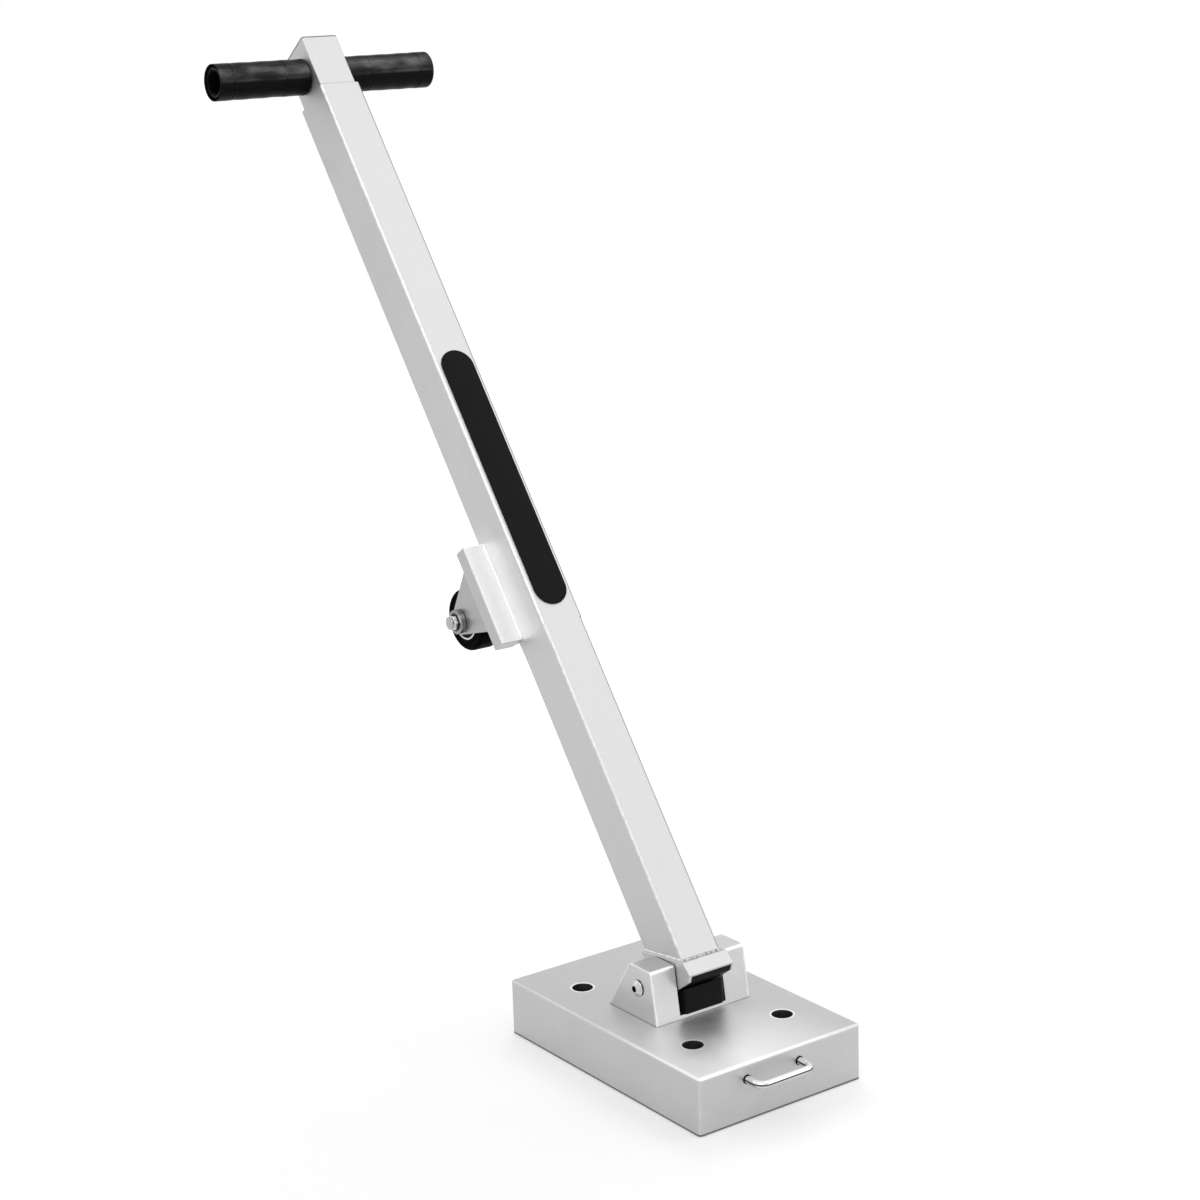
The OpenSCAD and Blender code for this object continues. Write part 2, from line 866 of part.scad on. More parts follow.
module wheel_saddle() {
    notch_w = tube_w + 2 * notch_side;
    color(aluminium_color)
        on_lever()
            difference() {
                translate([-saddle_w / 2, tube_rear - saddle_wrap, saddle_at])
                    cube([saddle_w, saddle_t, saddle_l]);
                translate([-tube_w / 2, tube_rear - saddle_wrap - overrun, saddle_at - overrun])
                    cube([tube_w, saddle_wrap + overrun, saddle_l + 2 * overrun]);
                translate([-notch_w / 2, tube_rear, saddle_at - overrun])
                    cube([notch_w, saddle_web + overrun, notch_h + overrun]);
                saddle_screw_holes();
            }
}

module cheek() {
    color(aluminium_color)
        on_lever()
            translate([(fork_w - cheek_t) / 2, 0, 0])
                across(cheek_t)
                    difference() {
                        union() {
                            polygon([
                                cheek_low,
                                touch(cheek_low, axle_spot, cheek_tip_r, -1),
                                touch(cheek_shoulder, axle_spot, cheek_tip_r, 1),
                                cheek_shoulder,
                                cheek_high
                            ]);
                            translate(axle_spot) circle(cheek_tip_r);
                        }
                        translate(axle_spot) circle(d = axle_d + 2 * thread_gap);
                    }
}

module left_cheek() {
    mirror([1, 0, 0]) cheek();
}

module right_cheek() {
    cheek();
}

// Everything on the wheel's axle
module on_axle() {
    on_lever() translate([0, axle_y, axle_z]) children();
}

module axle_bolt() {
    seat = fork_w / 2 + axle_collar_l;
    color(stainless_color)
        on_axle() {
            translate([(axle_head_h + axle_end) / 2, 0, 0]) rod(axle_d, 2 * seat + axle_head_h + axle_end);
            translate([-seat - axle_head_h / 2, 0, 0])
                rotate([0, 90, 0]) translate([0, 0, -axle_head_h / 2]) hex_bar(axle_head_d, axle_head_h);
            translate([-seat - axle_head_h - axle_cap_h / 2, 0, 0]) rod(axle_cap_d, axle_cap_h);
        }
}

module axle_nut() {
    seat = fork_w / 2 + axle_collar_l;
    color(stainless_color)
        on_axle()
            translate([seat, 0, 0])
                rotate([0, 90, 0])
                    difference() {
                        hex_bar(axle_head_d, axle_head_h);
                        translate([0, 0, -overrun])
                            cylinder(d = axle_d + 2 * thread_gap, h = axle_head_h + 2 * overrun);
                    }
}

module axle_collars() {
    color(stainless_color)
        on_axle()
            both_ends()
                translate([(fork_w + axle_collar_l) / 2, 0, 0])
                    ring(axle_collar_d, axle_d + 2 * thread_gap, axle_collar_l);
}

module axle_washers() {
    color(steel_color)
        on_axle()
            both_ends()
                translate([hub_w / 2 + side_gap + hub_washer_t / 2, 0, 0])
                    ring(hub_washer_d, axle_d + 2 * thread_gap, hub_washer_t);
}

// Wheel

module wheel_hub() {
    rim_inner_r = hub_r - rim_lip_share * tyre_t;
    color(aluminium_color)
        on_axle()
            difference() {
                union() {
                    rod(2 * hub_boss_r, hub_w);
                    rod(2 * rim_inner_r, hub_web_share * tyre_w);
                    ring(2 * hub_r - 2 * thread_gap, 2 * rim_inner_r - overrun, tyre_w);
                }
                rod(hub_bore_d, hub_w + 2 * overrun);
                both_ends()
                    translate([(hub_w - bearing_w + overrun) / 2, 0, 0])
                        rod(bearing_d + 2 * thread_gap, bearing_w + overrun);
            }
}

module wheel_bearings() {
    color(steel_color)
        on_axle()
            both_ends()
                translate([(hub_w - bearing_w) / 2, 0, 0])
                    ring(bearing_d, axle_d + 2 * running_gap, bearing_w);
}

module wheel_tyre() {
    half = tyre_w / 2;
    shoulder = tyre_shoulder_share * tyre_t;
    color(rubber_color)
        on_axle()
            turned()
                polygon(softened(
                    [[hub_r, -half], [wheel_d / 2, -half], [wheel_d / 2, half], [hub_r, half]],
                    [0, shoulder, shoulder, 0]));
}

// Handle

module handle_tube() {
    color(aluminium_color)
        on_lever()
            difference() {
                box_tube(handle_w, handle_d, handle_wall, handle_round, handle_foot, handle_top);
                translate([0, -lever_shift, bar_at]) {
                    rod(bar_d + 2 * thread_gap, handle_w + 2 * overrun);
                    rotate([-90, 0, 0]) cylinder(d = bar_screw_d + 2 * thread_gap, h = handle_d);
                }
            }
}

module handle_plug() {
    color(nylon_color)
        on_lever() {
            box_core(handle_w + 2 * plug_gap, handle_d + 2 * plug_gap, handle_round,
                     handle_foot - plug_h, handle_foot);
            box_core(handle_w - 2 * handle_wall - 2 * sleeve_gap, handle_d - 2 * handle_wall - 2 * sleeve_gap,
                     handle_round / 2, handle_foot, handle_foot + plug_in);
        }
}

module top_cap() {
    cap_w = handle_w - 2 * handle_wall - 2 * sleeve_gap;
    cap_d = handle_d - 2 * handle_wall - 2 * sleeve_gap;
    color(aluminium_color)
        on_lever()
            difference() {
                box_core(cap_w, cap_d, handle_round / 2, handle_top - cap_skirt_h, handle_top);
                box_core(cap_w - 2 * cap_skirt_t, cap_d - 2 * cap_skirt_t, handle_round / 2,
                         handle_top - cap_skirt_h - overrun, handle_top - cap_t);
            }
}

// Everything on the crossbar
module on_bar() {
    on_lever() translate([0, -lever_shift, bar_at]) children();
}

module crossbar() {
    tube_l = bar_l - 2 * end_flange_t;
    color(steel_color)
        on_bar()
            difference() {
                ring(bar_d, bar_d - 2 * bar_wall, tube_l);
                rotate([-90, 0, 0]) cylinder(d = bar_screw_d + 2 * thread_gap, h = bar_d);
            }
}

module grip() {
    grip_from = handle_w / 2 + slide_gap;
    inner_r = bar_d / 2 + thread_gap;
    color(rubber_color)
        on_bar()
            turned()
                polygon(softened(
                    [[inner_r, grip_from],
                     [grip_d / 2, grip_from],
                     [grip_d / 2, bar_l / 2],
                     [inner_r, bar_l / 2]],
                    [0, grip_round, grip_round, 0]));
}

module left_grip() {
    mirror([1, 0, 0]) grip();
}

module right_grip() {
    grip();
}

module end_plugs() {
    plug_d = bar_d - 2 * bar_wall - 2 * thread_gap;
    color(nylon_color)
        on_bar()
            both_ends()
                difference() {
                    union() {
                        translate([bar_l / 2 - end_flange_t / 2, 0, 0]) rod(bar_d, end_flange_t);
                        translate([(bar_l - end_plug_l) / 2, 0, 0]) rod(plug_d, end_plug_l);
                    }
                    translate([bar_l / 2, 0, 0]) rod(plug_d * end_dish_share, end_plug_l);
                }
}

module crossbar_screw() {
    face_y = handle_d / 2;
    color(steel_color)
        on_bar()
            rotate([-90, 0, 0])
                difference() {
                    union() {
                        translate([0, 0, face_y - bar_screw_l]) cylinder(d = bar_screw_d, h = bar_screw_l);
                        translate([0, 0, face_y]) cylinder(d = bar_head_d, h = bar_head_h);
                    }
                    translate([0, 0, face_y + bar_head_h / 2])
                        hex_bar(socket_share * bar_screw_d, bar_head_h);
                }
}

// Clamp of the telescope, on the rear face near the rim

module on_lock() {
    on_lever() translate([0, tube_rear, rim_at - lock_below]) rotate([-90, 0, 0]) children();
}

module lock_boss() {
    color(aluminium_color)
        on_lock()
            difference() {
                cylinder(d = lock_boss_d, h = lock_boss_h);
                translate([0, 0, -overrun])
                    cylinder(d = lock_d + 2 * thread_gap, h = lock_boss_h + 2 * overrun);
            }
}

module lock_screw() {
    color(steel_color)
        on_lock()
            difference() {
                translate([0, 0, -tube_wall]) cylinder(d = lock_d, h = tube_wall + lock_boss_h);
                translate([0, 0, lock_boss_h / 2]) hex_bar(lock_socket_share * lock_d, lock_boss_h);
            }
}

base_housing();
yoke_plate();
magnets();
wear_plate();
plate_screws();
base_bolts();
hinge_bracket();
bracket_screws();
buffer_block();
pivot_pin();
pivot_screws();
friction_washers();
pull_handle();
pull_rings();
lever_foot();
foot_bushes();
lower_tube();
joint_sleeve();
sleeve_screws();
upper_tube();
front_pad();
wheel_saddle();
saddle_screws();
left_cheek();
right_cheek();
axle_bolt();
axle_nut();
axle_collars();
axle_washers();
lock_boss();
lock_screw();
wheel_hub();
wheel_tyre();
wheel_bearings();
handle_tube();
handle_plug();
top_cap();
crossbar();
left_grip();
right_grip();
end_plugs();
crossbar_screw();
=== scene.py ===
import json
import math

import bmesh
import bpy
import numpy as np
from mathutils import Matrix, Vector


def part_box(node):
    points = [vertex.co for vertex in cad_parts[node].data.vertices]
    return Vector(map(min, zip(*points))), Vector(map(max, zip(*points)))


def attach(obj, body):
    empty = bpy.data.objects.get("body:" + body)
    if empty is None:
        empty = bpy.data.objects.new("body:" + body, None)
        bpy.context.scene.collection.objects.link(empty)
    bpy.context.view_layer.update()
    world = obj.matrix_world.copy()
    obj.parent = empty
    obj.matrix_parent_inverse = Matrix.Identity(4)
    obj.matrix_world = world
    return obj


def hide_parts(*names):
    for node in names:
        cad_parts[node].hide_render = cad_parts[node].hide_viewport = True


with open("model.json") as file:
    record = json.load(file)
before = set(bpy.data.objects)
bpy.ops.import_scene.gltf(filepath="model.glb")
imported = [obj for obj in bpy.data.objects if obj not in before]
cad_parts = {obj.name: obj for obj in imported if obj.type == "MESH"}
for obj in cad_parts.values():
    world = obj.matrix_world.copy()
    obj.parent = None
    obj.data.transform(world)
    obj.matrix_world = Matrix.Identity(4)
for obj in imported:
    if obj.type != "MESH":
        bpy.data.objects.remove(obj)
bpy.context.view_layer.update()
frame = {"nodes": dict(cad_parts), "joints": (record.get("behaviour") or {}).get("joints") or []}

mm = 0.001
fullTurn = 2 * math.pi
nodes = frame["nodes"]
joints = {j["name"]: j for j in frame["joints"]}
hinge = np.array(joints["lever_tilt"]["pos_m"], float)
axle = np.array(joints["wheel_spin"]["pos_m"], float)
atHinge, atAxle = tuple(hinge), tuple(axle)
sideways = np.array([1.0, 0.0, 0.0])
leverUp = np.array(joints["handle_slide"]["axis"], float)      # along the lever
leverBack = np.array([0.0, leverUp[2], -leverUp[1]])           # rearwards, square to it
leverLean = math.atan2(leverUp[1], leverUp[2])
print("frame loaded:", len(nodes), "CAD nodes, lever leans", round(math.degrees(leverLean), 2), "degrees")


# Places

def onLever(x, y, z):  # millimetres across, rearwards and along the lever, to metres
    x, y, z = np.broadcast_arrays(np.asarray(x, float), y, z)
    return hinge + mm * (x[..., None] * sideways + y[..., None] * leverBack + z[..., None] * leverUp)


def leverSpan(node):  # a node's lowest and highest corner in the lever's own directions, in millimetres
    mesh = nodes[node].data
    flat = np.empty(len(mesh.vertices) * 3, np.float32)
    mesh.vertices.foreach_get("co", flat)
    spread = (flat.reshape(-1, 3) - hinge) / mm
    local = np.stack([spread @ sideways, spread @ leverBack, spread @ leverUp], 1)
    return local.min(0), local.max(0)


def boxHalf(node):  # middle and half size of a node's box, in metres
    low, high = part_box(node)
    return tuple((low + high) / 2), tuple((high - low) / 2)


baseCentre, baseHalf = boxHalf("base_housing")
baseTop = baseHalf[2] / mm
lowerLow, lowerHigh = leverSpan("lower_tube")
tubeLow, tubeHigh = leverSpan("upper_tube")
saddleLow, saddleHigh = leverSpan("wheel_saddle")
barLow, barHigh = leverSpan("crossbar")
barR = (barHigh[1] - barLow[1]) / 2
hubLow, hubHigh = leverSpan("wheel_hub")
hubR = (hubHigh[2] - hubLow[2]) / 2
boltSeat = -leverSpan("axle_collars")[0][0]      # where the axle bolt's head sits, out from the middle


# Surfaces on grids of points

joinGap = 0.002      # points closer than this are one, in millimetres


def skin(points, closeRows=False, tips=True):
    # Four-sided faces between neighbouring rows; each row closes on itself, the end rows on a middle point.
    rows, cols = points.shape[:2]
    index = np.arange(rows * cols).reshape(rows, cols)
    if closeRows:
        index = np.vstack([index, index[:1]])
    low, high = index[:-1], index[1:]
    faces = np.stack([low, np.roll(low, -1, 1), np.roll(high, -1, 1), high], -1).reshape(-1, 4).tolist()
    flat = points.reshape(-1, 3)
    if tips and not closeRows:
        first, last = index[0], index[-1]
        flat = np.vstack([flat, points[0].mean(0), points[-1].mean(0)])
        start, end = np.full(cols, rows * cols), np.full(cols, rows * cols + 1)
        faces += np.stack([np.roll(first, -1), first, start], 1).tolist()
        faces += np.stack([last, np.roll(last, -1), end], 1).tolist()
    return flat, faces


def addPiece(name, shells, material, body, stands=(), sharp=40):
    mesh = bpy.data.meshes.new(name)
    count, allPoints, allFaces = 0, [], []
    for points, faces in shells:
        allPoints.append(points)
        allFaces += [[i + count for i in face] for face in faces]
        count += len(points)
    mesh.from_pydata(np.vstack(allPoints).tolist(), [], allFaces)
    work = bmesh.new()
    work.from_mesh(mesh)
    bmesh.ops.remove_doubles(work, verts=work.verts, dist=joinGap * mm)
    bmesh.ops.recalc_face_normals(work, faces=work.faces)
    work.to_mesh(mesh)
    work.free()
    mesh.polygons.foreach_set("use_smooth", np.ones(len(mesh.polygons), bool))
    mesh.set_sharp_from_angle(angle=math.radians(sharp))
    mesh.materials.append(material)
    piece = bpy.data.objects.new(name, mesh)
    bpy.context.scene.collection.objects.link(piece)
    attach(piece, body)
    if stands:
        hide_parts(*stands)
    return piece


def turnedGrid(along, radius, centre, steps):
    # Each profile point (along, radius) goes once round a sideways axis; radius may vary on the way.
    turn = np.linspace(0, fullTurn, steps, endpoint=False)
    radius = np.broadcast_to(np.asarray(radius, float).reshape(len(along), -1), (len(along), steps))
    y, z = radius * np.cos(turn), radius * np.sin(turn)
    return centre + mm * (np.asarray(along, float)[:, None, None] * sideways
                          + y[..., None] * leverBack + z[..., None] * leverUp)


def arc(middle, radius, start, end, steps):
    # Points on a circle from one angle to another, in degrees.
    angle = np.radians(np.linspace(start, end, steps))
    return np.stack([middle[0] + radius * np.cos(angle), middle[1] + radius * np.sin(angle)], 1)


# Shader pieces

def addNode(tree, kind, settings=None, **inputs):
    node = tree.nodes.new(kind)
    for key, value in (settings or {}).items():
        setattr(node, key, value)
    for key, value in inputs.items():
        plug(tree, node, key.replace("_", " "), value)
    return node


def plug(tree, node, key, value):  # at0, at1 and so on name a socket by its place
    socket = node.inputs[int(key[2:])] if key.startswith("at") and key[2:].isdigit() else node.inputs[key]
    if isinstance(value, bpy.types.NodeSocket):
        tree.links.new(value, socket)
    else:
        socket.default_value = value


def mathNode(tree, operation, a, b=0.0, clamp=False):
    settings = {"operation": operation, "use_clamp": clamp}
    return addNode(tree, "ShaderNodeMath", settings, at0=a, at1=b).outputs[0]


def mathStep(operation):
    return lambda tree, a, b: mathNode(tree, operation, a, b)


plus, minus = mathStep("ADD"), mathStep("SUBTRACT")
least, most = mathStep("MINIMUM"), mathStep("MAXIMUM")


def times(tree, first, *others):
    for other in others:
        first = mathNode(tree, "MULTIPLY", first, other)
    return first


def awayFrom(tree, value, middle=0.0):  # distance from a value in metres
    return mathNode(tree, "ABSOLUTE", minus(tree, value, middle) if middle else value)


def weighted(tree, *pairs):  # sum of values, each times its share
    total, *rest = [times(tree, value, share) for value, share in pairs]
    for value in rest:
        total = plus(tree, total, value)
    return total


def reach(tree, a, b):
    return mathNode(tree, "SQRT", plus(tree, times(tree, a, a), times(tree, b, b)))


def within(tree, value, limit):  # below a limit in millimetres
    return mathNode(tree, "LESS_THAN", value, limit * mm)


def beyond(tree, value, limit):  # above a limit in millimetres
    return mathNode(tree, "GREATER_THAN", value, limit * mm)


def ramp(tree, value, low, high, toLow=0.0, toHigh=1.0):
    node = addNode(tree, "ShaderNodeMapRange", {"clamp": True}, Value=value)
    for key, number in (("From Min", low), ("From Max", high), ("To Min", toLow), ("To Max", toHigh)):
        node.inputs[key].default_value = number
    return node.outputs[0]


def fade(tree, value, span, shares=(0.0, 1.0), start=0.0):  # shares over a span in millimetres
    return ramp(tree, value, (start + span[0]) * mm, (start + span[1]) * mm, *shares)


def axes(tree, vector):
    return addNode(tree, "ShaderNodeSeparateXYZ", Vector=vector).outputs


def joined(tree, x=0.0, y=0.0, z=0.0):
    return addNode(tree, "ShaderNodeCombineXYZ", X=x, Y=y, Z=z).outputs[0]


def vectorNode(tree, operation, a, b=(0.0, 0.0, 0.0)):
    return addNode(tree, "ShaderNodeVectorMath", {"operation": operation}, at0=a, at1=b).outputs


def noise(tree, vector, scale, detail, rough, warp=0.0):
    return addNode(tree, "ShaderNodeTexNoise", Vector=vector, Scale=scale, Detail=detail, Roughness=rough,
                   Distortion=warp).outputs[0]


def mixColour(tree, share, a, b):
    return addNode(tree, "ShaderNodeMix", {"data_type": "RGBA"}, at0=share, at6=a, at7=b).outputs[2]


def grey(value, tint=(1.0, 1.0, 1.0)):
    return (value * tint[0], value * tint[1], value * tint[2], 1.0)


def newGroup(name, vectors, values, results):
    group = bpy.data.node_groups.new(name, "ShaderNodeTree")
    rows = (vectors, "INPUT", "Vector"), (values, "INPUT", "Float"), (results, "OUTPUT", "Float")
    for names, way, kind in rows:
        for socketName in names.split():
            group.interface.new_socket(socketName, in_out=way, socket_type="NodeSocket" + kind)
    return group, group.nodes.new("NodeGroupInput").outputs, group.nodes.new("NodeGroupOutput").inputs


def blastedGroup():
    # Fine blasted grain and slow clouds, both from noise in the object's own metres.
    group, given, result = newGroup("blastedGrain", "Vector", "Grain Cloud", "Grain Cloud Height")
    grain = noise(group, given["Vector"], given["Grain"], detail=3.0, rough=0.65)
    cloud = noise(group, given["Vector"], given["Cloud"], detail=4.0, rough=0.55, warp=0.4)
    for value, place in ((grain, "Grain"), (cloud, "Cloud")):
        group.links.new(ramp(group, value, low=0.3, high=0.7), result[place])
    group.links.new(grain, result["Height"])
    return group


def brushedGroup():
    # Long scratches: noise drawn out along one direction, at two widths.
    group, given, result = newGroup("brushedLines", "Vector", "Across Along", "Lines")
    stretch = joined(group, given["Across"], given["Across"], given["Along"])
    drawn = vectorNode(group, "MULTIPLY", given["Vector"], stretch)[0]
    fine = noise(group, drawn, scale=1.0, detail=2.0, rough=0.6)
    wide = noise(group, drawn, scale=0.22, detail=2.0, rough=0.5)
    fineShare, wideShare = 0.6, 0.4
    both = weighted(group, (fine, fineShare), (wide, wideShare))
    group.links.new(ramp(group, both, low=0.32, high=0.68), result["Lines"])
    return group


def edgeGroup():
    # Rubbed edges of a box: near an edge the two smaller of the three distances to the faces are both small,
    # so the middle one of the three, made ragged by noise, gives the mask.
    group, given, result = newGroup("rubbedEdges", "Vector Half", "Width", "Edge")
    size = vectorNode(group, "ABSOLUTE", given["Vector"])[0]
    x, y, z = axes(group, vectorNode(group, "SUBTRACT", given["Half"], size)[0])
    middle = most(group, least(group, x, y), least(group, most(group, x, y), z))
    ragged = noise(group, given["Vector"], scale=180.0, detail=4.0, rough=0.6)
    noiseMean = 0.5
    width = times(group, given["Width"], times(group, ragged, 1 / noiseMean))
    share = mathNode(group, "SUBTRACT", 1.0, mathNode(group, "DIVIDE", middle, width), clamp=True)
    group.links.new(share, result["Edge"])
    return group


def rubberGroup():
    # Moulded rubber: small cells for the grain, and a slow bloom that pales it.
    group, given, result = newGroup("rubberGrain", "Vector", "Cells Bloom", "Bloom Height")
    cells = addNode(group, "ShaderNodeTexVoronoi", {"feature": "SMOOTH_F1"}, Vector=given["Vector"],
                    Scale=given["Cells"]).outputs[0]
    speck = noise(group, given["Vector"], given["Cells"], detail=3.0, rough=0.6)
    bloom = noise(group, given["Vector"], given["Bloom"], detail=5.0, rough=0.6)
    speckShare = 0.6
    group.links.new(ramp(group, bloom, low=0.35, high=0.7), result["Bloom"])
    group.links.new(plus(group, cells, times(group, speck, speckShare)), result["Height"])
    return group


blasted, brushed, rubbed, moulded = blastedGroup(), brushedGroup(), edgeGroup(), rubberGroup()


def newMaterial(name):
    material = bpy.data.materials.new(name)
    material.use_nodes = True
    tree = material.node_tree
    shader = next(n for n in tree.nodes if n.type == "BSDF_PRINCIPLED")
    return material, tree, shader


def ownSpace(tree, turn=0.0, centre=(0.0, 0.0, 0.0)):
    # Object coordinates, turned about the sideways axis and then moved so that centre becomes the zero point.
    coords = tree.nodes.new("ShaderNodeTexCoord").outputs["Object"]
    moved = Matrix.Rotation(turn, 3, "X") @ Vector(centre)
    turned = (turn, 0.0, 0.0)
    return addNode(tree, "ShaderNodeMapping", Vector=coords, Rotation=turned, Location=-moved).outputs[0]


def addGroup(tree, group, **inputs):
    return addNode(tree, "ShaderNodeGroup", {"node_tree": group}, **inputs).outputs


def bumpFrom(tree, shader, height, look):
    bump = addNode(tree, "ShaderNodeBump", Height=height, Strength=look["bump"], Distance=look["depth"] * mm)
    tree.links.new(bump.outputs[0], shader.inputs["Normal"])


def satinMetal(name, look, turn=0.0, centre=(0.0, 0.0, 0.0), half=None, darkPlace=None, lightPlace=None):
    # Bare metal: blasted grain, slow clouds, faint drawn lines and, on a box, rubbed edges.
    material, tree, shader = newMaterial(name)
    space = ownSpace(tree, turn, centre)
    grain = addGroup(tree, blasted, Vector=space, Grain=look["grain"], Cloud=look["cloud"])
    lines = addGroup(tree, brushed, Vector=space, Across=look["across"], Along=look["along"])["Lines"]
    tone = weighted(tree, (grain["Cloud"], look["cloudShare"]), (grain["Grain"], look["grainShare"]),
                    (lines, look["lineShare"]))
    colour = mixColour(tree, tone, grey(look["dark"], look["tint"]), grey(look["light"], look["tint"]))
    rough = weighted(tree, (grain["Cloud"], look["roughCloud"]), (lines, look["roughLines"]))
    rough = plus(tree, rough, look["rough"])
    if half is not None:
        edge = addGroup(tree, rubbed, Vector=space, Half=half, Width=look["edgeWidth"] * mm)["Edge"]
        colour = mixColour(tree, times(tree, edge, look["edgeShare"]), colour, grey(look["edge"]))
        rough = minus(tree, rough, times(tree, edge, look["edgePolish"]))
    # The dark and light places paint shade, highlights and reflections into the colour; on the bracket the
    # light place is its rubbed edges.
    for place, shade in ((lightPlace, "lightened"), (darkPlace, "darkened")):
        if place is not None:
            colour = mixColour(tree, place(tree, *axes(tree, space)), colour, grey(look[shade]))
    tree.links.new(colour, shader.inputs["Base Color"])
    tree.links.new(rough, shader.inputs["Roughness"])
    shader.inputs["Metallic"].default_value = 1.0
    bumpFrom(tree, shader, plus(tree, grain["Height"], times(tree, lines, look["lineHeight"])), look)
    return material


def blackRubber(name, look, turn=0.0, centre=atHinge):
    material, tree, shader = newMaterial(name)
    space = ownSpace(tree, turn, centre)
    grain = addGroup(tree, moulded, Vector=space, Cells=look["cells"], Bloom=look["bloom"])
    colour = mixColour(tree, grain["Bloom"], grey(look["dark"]), grey(look["light"]))
    tree.links.new(colour, shader.inputs["Base Color"])
    smoother, rougher = 0.05, 0.06
    rough = ramp(tree, grain["Bloom"], 0.0, 1.0, look["rough"] - smoother, look["rough"] + rougher)
    tree.links.new(rough, shader.inputs["Roughness"])
    shader.inputs["Specular IOR Level"].default_value = look["shine"]
    bumpFrom(tree, shader, grain["Height"], look)
    if "worn" in look:
        wornSheen(tree, shader, space, look["worn"])
    return material


def wornSheen(tree, shader, space, worn):
    # Hands polish the front of a grip: a thin gloss where the way out from the bar points to the worn side,
    # broken up by noise drawn out along the bar.
    _, y, z = axes(tree, space)
    out = vectorNode(tree, "NORMALIZE", joined(tree, 0.0, y, z))[0]
    facing = vectorNode(tree, "DOT_PRODUCT", out, worn["side"])["Value"]
    drawn = vectorNode(tree, "MULTIPLY", space, worn["stretch"])[0]
    patch = noise(tree, drawn, scale=1.0, detail=3.0, rough=0.55)
    share = times(tree, ramp(tree, facing, *worn["facing"]), ramp(tree, patch, *worn["patch"], worn["least"]))
    tree.links.new(share, shader.inputs["Coat Weight"])
    shader.inputs["Coat Roughness"].default_value = worn["rough"]
    shader.inputs["Coat IOR"].default_value = worn["index"]


# Marks on the metal: masks of the place on a piece, most of them painted shade, highlights and reflections.
# Lengths are in millimetres, shares from 0 to 1.

# On the base the walls, the low band and the joint line are painted shade; the rim and the sheen are painted
# highlights.
baseMarks = {"headR": 9.5, "wall": (11.3, 11.5), "wallDark": 0.87, "lowShade": (2.2, 1.2), "lowShadeDark": 0.85,
             "joint": (0.5, 1.5), "jointDark": 0.5, "topDeep": 0.5, "rimFrom": 10.8, "rimFade": (12.6, 13.3),
             "rimDeep": 1.8, "sheenAt": (-62.0, -150.0), "sheenFade": (30.0, 150.0), "sheenShare": 0.95,
             "sheenDeep": (-2.5, -1.0)}


def fromBolts(tree, x, y):
    # Distance from the nearest bolt's axis.
    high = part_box("base_bolts")[1]
    headR = baseMarks["headR"] * mm
    aside = minus(tree, awayFrom(tree, x), high[0] - headR)
    return reach(tree, aside, minus(tree, awayFrom(tree, y), high[1] - headR))


def bracketJoint(tree, x, y, z):
    # A thin line of painted shade where the bracket stands: points of the top just outside its outline.
    s = baseMarks
    low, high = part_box("hinge_bracket")
    across = minus(tree, awayFrom(tree, x), high[0])
    along = awayFrom(tree, y, (low[1] + high[1]) / 2 - baseCentre[1])
    outside = most(tree, across, minus(tree, along, (high[1] - low[1]) / 2))
    line = fade(tree, outside, s["joint"], (s["jointDark"], 0.0))
    return times(tree, line, beyond(tree, z, baseTop - s["topDeep"]))


def baseDark(tree, x, y, z):
    # Painted shade: on the walls of the four bolt holes, and in a thin band along the foot of the sides.
    s = baseMarks
    walls = times(tree, fade(tree, fromBolts(tree, x, y), s["wall"], (s["wallDark"], 0.0)),
                  within(tree, z, baseTop - s["topDeep"]))
    lowShade = fade(tree, z, s["lowShade"], (0.0, s["lowShadeDark"]), start=-baseTop)
    return most(tree, walls, most(tree, lowShade, bracketJoint(tree, x, y, z)))


def baseLight(tree, x, y, z):
    # Bright rims round the holes, where the cut metal is bare and a highlight is painted, and a painted sheen
    # that spreads from the front corner.
    s = baseMarks
    away = fromBolts(tree, x, y)
    rim = times(tree, beyond(tree, away, s["rimFrom"]), fade(tree, away, s["rimFade"], (1.0, 0.0)),
                beyond(tree, z, baseTop - s["rimDeep"]))
    spread = reach(tree, *[minus(tree, value, at * mm) for value, at in zip((x, y), s["sheenAt"])])
    sheen = times(tree, fade(tree, spread, s["sheenFade"], (s["sheenShare"], 0.0)),
                  fade(tree, z, s["sheenDeep"], start=baseTop))
    return most(tree, rim, sheen)


earShape = {"footLong": 79.5, "topLong": 35.0, "lean": 9.0, "rub": 2.2, "most": 0.7}


def bracketEdges(tree, x, y, z):
    # Each ear is a tapering box. Its outer side and its top are faces of a box one metre in from them. Its
    # front and rear follow half its length at that height, so only the outer and the top edges are rubbed.
    s, inset = earShape, 1.0
    low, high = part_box("hinge_bracket")
    rise, foot, top = high[2] - low[2], s["footLong"] * mm, s["topLong"] * mm
    up = minus(tree, z, low[2])
    front = plus(tree, times(tree, up, s["lean"] * mm / rise), low[1])
    halfLong = plus(tree, times(tree, up, (top - foot) / rise / 2), foot / 2)
    across = minus(tree, awayFrom(tree, x), high[0] - inset)
    along = minus(tree, y, plus(tree, front, halfLong))
    out = joined(tree, across, along, minus(tree, up, rise - inset))
    half = joined(tree, inset, halfLong, inset)
    edge = addGroup(tree, rubbed, Vector=out, Half=half, Width=s["rub"] * mm)["Edge"]
    return ramp(tree, edge, 0.0, s["most"], 0.0, s["most"])


footShape = {"lipDown": 11.5, "toeIn": 7.5, "lift": 0.6, "strip": 1.2, "ends": 3.0, "flat": 0.5}


